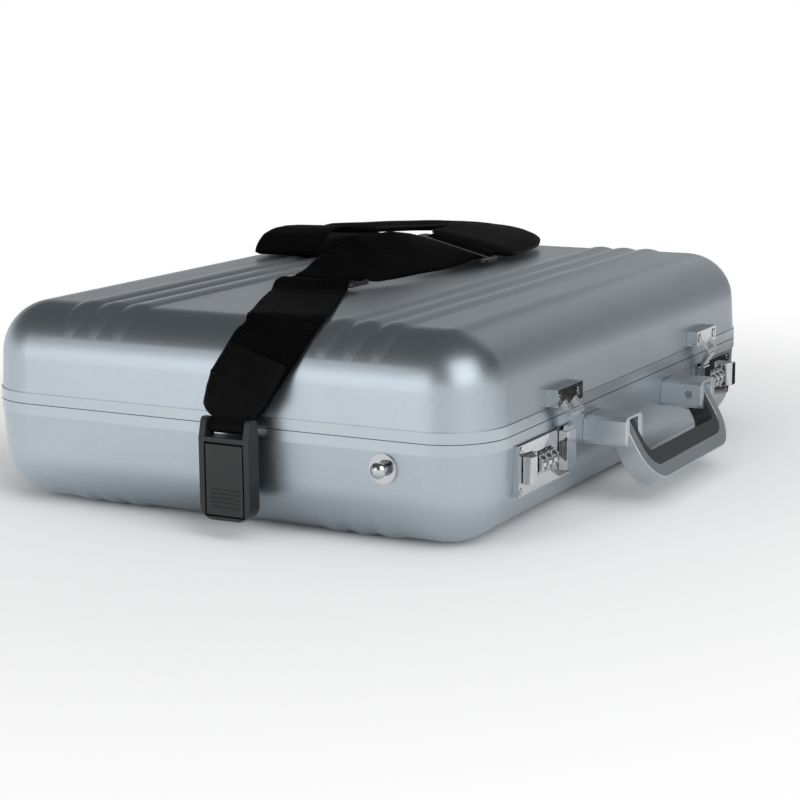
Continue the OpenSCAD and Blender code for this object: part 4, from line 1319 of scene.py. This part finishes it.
class LidOrganiser:
    """The padded organiser under the lid: panel, gusseted pocket, card pockets and pen loops."""

    def build(self) -> None:
        """Builds the panel and what is sewn on it."""
        low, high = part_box("lid_pocket")
        middle = (low + high) / 2
        half_x, half_y = (high.x - low.x) / 2, (high.y - low.y) / 2
        panel = self.pillow(middle, half_x, half_y, (high.z - low.z) / 2, high.z, 40, 28)
        piece = finished("lid_pocket_panel", panel, [ORGANISER], "lid")
        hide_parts("lid_pocket")
        floor = low.z - 0.0002
        pockets = (("lid_pocket_folder", 0.0, -0.30 * half_y, 0.93 * half_x, 0.62 * half_y, 0.0045),
                   ("lid_pocket_cards_left", -0.55 * half_x, 0.66 * half_y, 0.36 * half_x,
                    0.24 * half_y, 0.0025),
                   ("lid_pocket_cards_right", 0.10 * half_x, 0.66 * half_y, 0.22 * half_x,
                    0.24 * half_y, 0.0025))
        for name, dx, dy, wide, deep, bulge in pockets:
            self.pocket(name, middle.x + dx, middle.y + dy, wide, deep, floor, bulge)
        self.pen_loops(middle.x + 0.62 * half_x, middle.y + 0.66 * half_y, floor)

    @staticmethod
    def pillow(middle: Vector, half_x: float, half_y: float, half_t: float, top: float,
               cells_x: int, cells_y: int) -> bmesh.types.BMesh:
        """A flat-backed padded panel with rounded corners.

        Args:
            middle: Its middle.
            half_x: Half its length.
            half_y: Half its width.
            half_t: Half its thickness.
            top: The height of its flat back.
            cells_x: Cells along it.
            cells_y: Cells across it.

        Returns:
            The mesh.
        """
        bm = bmesh.new()
        corner = 0.012

        def plan(u: float, w: float) -> tuple[float, float]:
            """A point of the plan, with the corners drawn in."""
            x, y = u * half_x, w * half_y
            dx, dy = abs(x) - (half_x - corner), abs(y) - (half_y - corner)
            if dx > 0 and dy > 0:
                reach = max(dx, dy)
                scale = reach / math.hypot(dx, dy)
                x = math.copysign(half_x - corner + dx * scale, x)
                y = math.copysign(half_y - corner + dy * scale, y)
            return x, y

        def back(u: float, v: float) -> Vector:
            """A point of the flat back."""
            x, y = plan(u, 2 * v - 1)
            edge = max(abs(u), abs(2 * v - 1)) > 0.999
            return Vector((middle.x + x, middle.y + y, top - (half_t if edge else 0)))

        def front(u: float, v: float) -> Vector:
            """A point of the padded front."""
            w = 2 * v - 1
            x, y = plan(u, w)
            rim = max(0.0, 1 - max(abs(u), abs(w)) ** 10) ** 0.5
            border = min(half_x - abs(u) * half_x, half_y - abs(w) * half_y)
            seam = 1 - 0.45 * math.exp(-((border - 0.007) / 0.0016) ** 2)
            height = half_t + half_t * rim * seam
            return Vector((middle.x + x, middle.y + y, top - height))

        first = mapped_grid(bm, 2 * cells_x, 2 * cells_y, back, (2 * half_x, 2 * half_y))
        second = mapped_grid(bm, 2 * cells_x, 2 * cells_y, front, (2 * half_x, 2 * half_y))
        bmesh.ops.remove_doubles(bm, verts=first + second, dist=WELD)
        return bm

    @staticmethod
    def pocket(name: str, x: float, y: float, half_x: float, half_y: float, floor: float,
               bulge: float) -> None:
        """A sewn-on pocket, open at its upper edge, where it stands off the panel.

        Args:
            name: The piece's name.
            x: Its middle along the case.
            y: Its middle across the case.
            half_x: Half its width.
            half_y: Half its depth.
            floor: Height of the panel's face.
            bulge: How far its mouth stands off.
        """
        bm = bmesh.new()
        thick = 0.0009

        def face(lift: float) -> Callable[[float, float], Vector]:
            """One side of the cloth."""
            def place(u: float, v: float) -> Vector:
                """A point of the pocket's cloth."""
                gather = 0.0004 * math.sin(u * 40) * v
                side = max(0.0, 1 - abs(u) ** 4)
                off = bulge * side * math.sin(min(1.0, v) * math.pi / 2) ** 1.5 + gather * side
                return Vector((x + u * half_x, y + (2 * v - 1) * half_y, floor - off - lift))
            return place

        mapped_grid(bm, 48, 24, face(0.0), (2 * half_x, 2 * half_y))
        bmesh.ops.solidify(bm, geom=bm.faces[:], thickness=thick)
        steps = 60
        ups = [Vector((0, 0, -1))] * (steps + 1)
        sewn = face(thick + 0.0002)
        rows = [[sewn(-0.97 + 1.94 * k / steps, v) for k in range(steps + 1)]
                for v in (0.02, 0.93)]
        rows += [[sewn(u, 0.02 + 0.9 * k / steps) for k in range(steps + 1)]
                 for u in (-0.97, 0.97)]
        for row in rows:
            stitches(bm, row, ups, 0.004, 0.0005)
        hem = [face(0.0005)(-1 + 2 * k / 40, 1.0) for k in range(41)]
        tube(bm, hem, CORD_RADIUS, material=2)
        piece = finished(name, bm, [ORGANISER, THREAD, BINDING], "lid")
        2 * half_x
        2 * half_y
        LOG.info("built %s", name)

    @staticmethod
    def pen_loops(x: float, y: float, floor: float) -> None:
        """Three elastic loops for pens.

        Args:
            x: Their middle along the case.
            y: Their middle across the case.
            floor: Height of the panel's face.
        """
        bm = bmesh.new()
        for k in (-1, 0, 1):
            def place(u: float, v: float, k: int = k) -> Vector:
                """A point of one loop's elastic."""
                turn = math.pi * (1 - v)
                return Vector((x + 0.017 * k + 0.0065 * math.cos(turn), y + u * 0.009,
                               floor - 0.0062 * math.sin(turn) ** 0.8))
            mapped_grid(bm, 8, 24, place, (0.018, 0.022))
        bmesh.ops.solidify(bm, geom=bm.faces[:], thickness=0.0009)
        piece = finished("lid_pocket_pen_loops", bm, [BINDING], "lid")
        LOG.info("built %s", piece.name)


@dataclass
class CombinationLock:
    """One lock and its catch: plate, thumb slide, three figured dials, hasp and striker."""

    side: Side

    def build(self) -> None:
        """Dresses the lock's nodes and builds its dials."""
        word = self.side.word
        for node, width in (("lock_plate", 0.35), ("thumb_slide", 0.5), ("hasp", 0.4)):
            softened(f"{node}_{word}", width, CHROME)
        softened(f"striker_{word}", 0.7, STRIKER)
        for node in ("dial_spindle", "hasp_pin"):
            dress_node(f"{node}_{word}", STEEL)
        for number in (1, 2, 3):
            self.dial(number)

    def dial(self, number: int) -> None:
        """Builds one dial: ten flats with figures between knurled grooves.

        Args:
            number: Its place in the row.
        """
        node = f"dial_{self.side.word}_{number}"
        low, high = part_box(node)
        middle = (low + high) / 2
        half = (high.x - low.x) / 2
        radius = (high.z - low.z) / 2
        bore = 0.00155
        flats = 10
        inward = math.cos(math.pi / flats)
        bm = bmesh.new()
        rim = [(-half, bore), (-half, radius * 0.86), (-half * 0.9, radius * 0.955),
               (-half * 0.66, radius), (half * 0.66, radius), (half * 0.9, radius * 0.955),
               (half, radius * 0.86), (half, bore)]
        count = len(rim) - 1

        def place(u: float, v: float) -> Vector:
            """A point of the dial's skin."""
            x, reach = rim[round(v * count)]
            turn = math.pi * u
            if reach > bore:
                share = (turn / (2 * math.pi) * flats) % 1.0
                notch = max(0.0, 1 - abs(share - 0.5) / 0.14)
                flat = inward / max(0.2, math.cos(min(share, 1 - share) * 2 * math.pi / flats))
                reach *= min(1.0, flat / inward) * (1 - 0.10 * notch)
            return middle + Vector((x, -reach * math.cos(turn), reach * math.sin(turn)))

        mapped_grid(bm, 120, count, place, (0.04, 0.0066))
        bmesh.ops.remove_doubles(bm, verts=bm.verts[:], dist=1e-6)
        rims = [edge for edge in bm.edges if edge.is_boundary]
        bmesh.ops.bridge_loops(bm, edges=rims)
        for figure in range(flats):
            self.engrave(bm, figure, middle, radius)
        piece = finished(f"{node}_figured", bm, [CHROME, FIGURE], node)
        piece.data.set_sharp_from_angle(angle=math.radians(28))
        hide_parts(node)
        LOG.info("built %s", piece.name)

    @staticmethod
    def engrave(bm: bmesh.types.BMesh, figure: int, middle: Vector, radius: float) -> None:
        """Adds one painted figure on its flat.

        Args:
            bm: The dial's mesh.
            figure: The figure.
            middle: The dial's middle.
            radius: The dial's radius.
        """
        curve = bpy.data.curves.new("figure", "FONT")
        curve.body = str(figure)
        curve.size = 0.0036
        curve.align_x = "CENTER"
        curve.align_y = "CENTER"
        curve.extrude = 0.00004
        curve.resolution_u = 3
        holder = bpy.data.objects.new("figure", curve)
        mesh = bpy.data.meshes.new_from_object(holder)
        turn = 2 * math.pi * figure / 10
        mesh.transform(Matrix.Translation(middle) @ Matrix.Rotation(-turn, 4, "X")
                       @ Matrix.Translation((0, -radius - 0.00002, 0))
                       @ Matrix.Rotation(math.pi / 2, 4, "X"))
        before = len(bm.faces)
        bm.from_mesh(mesh)
        bm.faces.ensure_lookup_table()
        for face in bm.faces[before:]:
            face.material_index = 1
        bpy.data.objects.remove(holder)
        bpy.data.curves.remove(curve)
        bpy.data.meshes.remove(mesh)


class FoldingHandle:
    """The handle with its mounts, pins, bail and grip insert."""

    def build(self) -> None:
        """Dresses the handle's nodes."""
        low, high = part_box("handle_pin_left")
        heart = Vector((0.0, low.y + high.y, low.z + high.z)) / 2
        softened("handle_bail", 1.2, HANDLE, 40, broad=3.6, heart=heart)
        softened("grip_insert", 0.8, GRIP, 40)
        for side in Side:
            # The mounts take the paler copy of the handle's satin, a painted highlight.
            softened(f"handle_mount_{side.word}", 1.3, HANDLE_SATIN_PAINTED_BRIGHT, 40)
            dress_node(f"handle_pin_{side.word}", STEEL)


class Screws:
    """The small screws of plates and strikers."""

    def build(self) -> None:
        """Dresses the screws."""
        dress_node("lock_screws", CHROME)
        dress_node("striker_screws", STRIKER)


# --------------------------------------------------------------------------------------------
# Studio
# --------------------------------------------------------------------------------------------


@dataclass
class Studio:
    """A pale floor, soft lamps, a plain world and the camera."""

    lens: float = 92.75
    place: Vector = Vector((-1.2258, -0.6564, 0.3075))
    heading: float = 28.02
    dip: float = 10.94
    roll: float = -0.49

    def build(self) -> None:
        """Builds the studio."""
        self.camera()
        self.floor()
        self.world()
        self.lamp("key", (-1.3, -2.2, 1.7), (0.0, 0.0, 0.05), 2.4, 34.0)
        self.lamp("end_card", (-2.6, 1.1, 0.75), (0.0, 0.0, 0.08), 1.8, 12.0)
        self.lamp("over", (0.2, 0.1, 2.4), (0.0, 0.0, 0.05), 2.2, 14.0, False)
        self.lamp("far_card", (2.1, -0.25, 1.15), (0.0, 0.0, 0.08), 1.5, 2.6)
        scene = bpy.context.scene
        scene.view_settings.view_transform = "Standard"

    def camera(self) -> None:
        """Creates the camera and makes it the scene's."""
        yaw, dip, roll = (math.radians(a) for a in (self.heading, self.dip, self.roll))
        ahead = Vector((math.cos(yaw) * math.cos(dip), math.sin(yaw) * math.cos(dip),
                        -math.sin(dip)))
        right = Vector((math.sin(yaw), -math.cos(yaw), 0.0))
        up = right.cross(ahead)
        right, up = (math.cos(roll) * right + math.sin(roll) * up,
                     -math.sin(roll) * right + math.cos(roll) * up)
        data = bpy.data.cameras.new("camera")
        data.lens = self.lens
        data.sensor_width = 36.0
        data.clip_start = 0.02
        data.clip_end = 60.0
        made = bpy.data.objects.new("camera", data)
        made.matrix_world = (Matrix.Translation(self.place)
                             @ Matrix((right, up, -ahead)).transposed().to_4x4())
        bpy.context.scene.collection.objects.link(made)
        bpy.context.scene.camera = made

    def floor(self) -> None:
        """Creates the pale floor."""
        bm = bmesh.new()
        bmesh.ops.create_grid(bm, x_segments=1, y_segments=1, size=12.0)
        mesh = bpy.data.meshes.new("floor")
        bm.to_mesh(mesh)
        bm.free()
        mesh.materials.append(PAPER.material())
        made = bpy.data.objects.new("floor", mesh)
        made.location.z = -0.0002
        bpy.context.scene.collection.objects.link(made)

    def world(self) -> None:
        """Creates the world: white to the eye and in gloss near the level, dimmer overhead."""
        world = bpy.data.worlds.new("studio")
        bpy.context.scene.world = world
        tree = Tree(world)
        way = tree.node("ShaderNodeTexCoord", output="Generated")
        _, _, height = tree.axes(way)
        towards = tree.node("ShaderNodeVectorMath", {"operation": "DOT_PRODUCT"},
                            {0: way, 1: (*FRONT_WAY, 0.0)}, "Value")
        level = height.ease(0.03, 0.42, 1.0, 0.12) * towards.ease(*FRONT_SPAN, 1.0, 0.45)
        eye, gloss, clear = (tree.node("ShaderNodeLightPath", output=f"Is {kind} Ray")
                             for kind in ("Camera", "Glossy", "Transmission"))
        shiny = tree.node("ShaderNodeMix", {"data_type": "FLOAT"},
                          {0: gloss.most(clear), 2: 0.42, 3: level})
        seen = tree.node("ShaderNodeMix", {"data_type": "FLOAT"}, {0: eye, 2: shiny, 3: 1.0})
        light = tree.node("ShaderNodeBackground", {}, {"Color": (1.0, 1.0, 1.0), "Strength": seen})
        tree.node("ShaderNodeOutputWorld", {}, {"Surface": light})

    @staticmethod
    def lamp(name: str, place: Sequence[float], aim: Sequence[float], size: float,
             power: float, mirrored: bool = True) -> None:
        """Creates one soft lamp.

        Args:
            name: Its name.
            place: Where it stands.
            aim: The point that it faces.
            size: Length of its side in metres.
            power: Its power in watts.
            mirrored: Whether gloss shows it.
        """
        data = bpy.data.lights.new(name, "AREA")
        data.shape = "SQUARE"
        data.size = size
        data.energy = power
        made = bpy.data.objects.new(name, data)
        made.location = place
        made.rotation_euler = (Vector(aim) - Vector(place)).to_track_quat("-Z", "Y").to_euler()
        made.visible_glossy = mirrored
        bpy.context.scene.collection.objects.link(made)


def main() -> None:
    """Builds the studio and the case, piece by piece."""
    logging.basicConfig(level=logging.INFO, format="%(name)s: %(message)s")
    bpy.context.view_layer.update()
    Studio().build()
    CaseBody().build()
    FlockedLiner("base_liner", "base", BASE_RIM, False).build()
    FlockedLiner("lid_liner", "lid", LID_RIM, True).build()
    LidOrganiser().build()
    for side in Side:
        CombinationLock(side).build()
    Screws().build()
    FoldingHandle().build()
    ShoulderStrap().build()


if __name__ == "__main__":
    main()
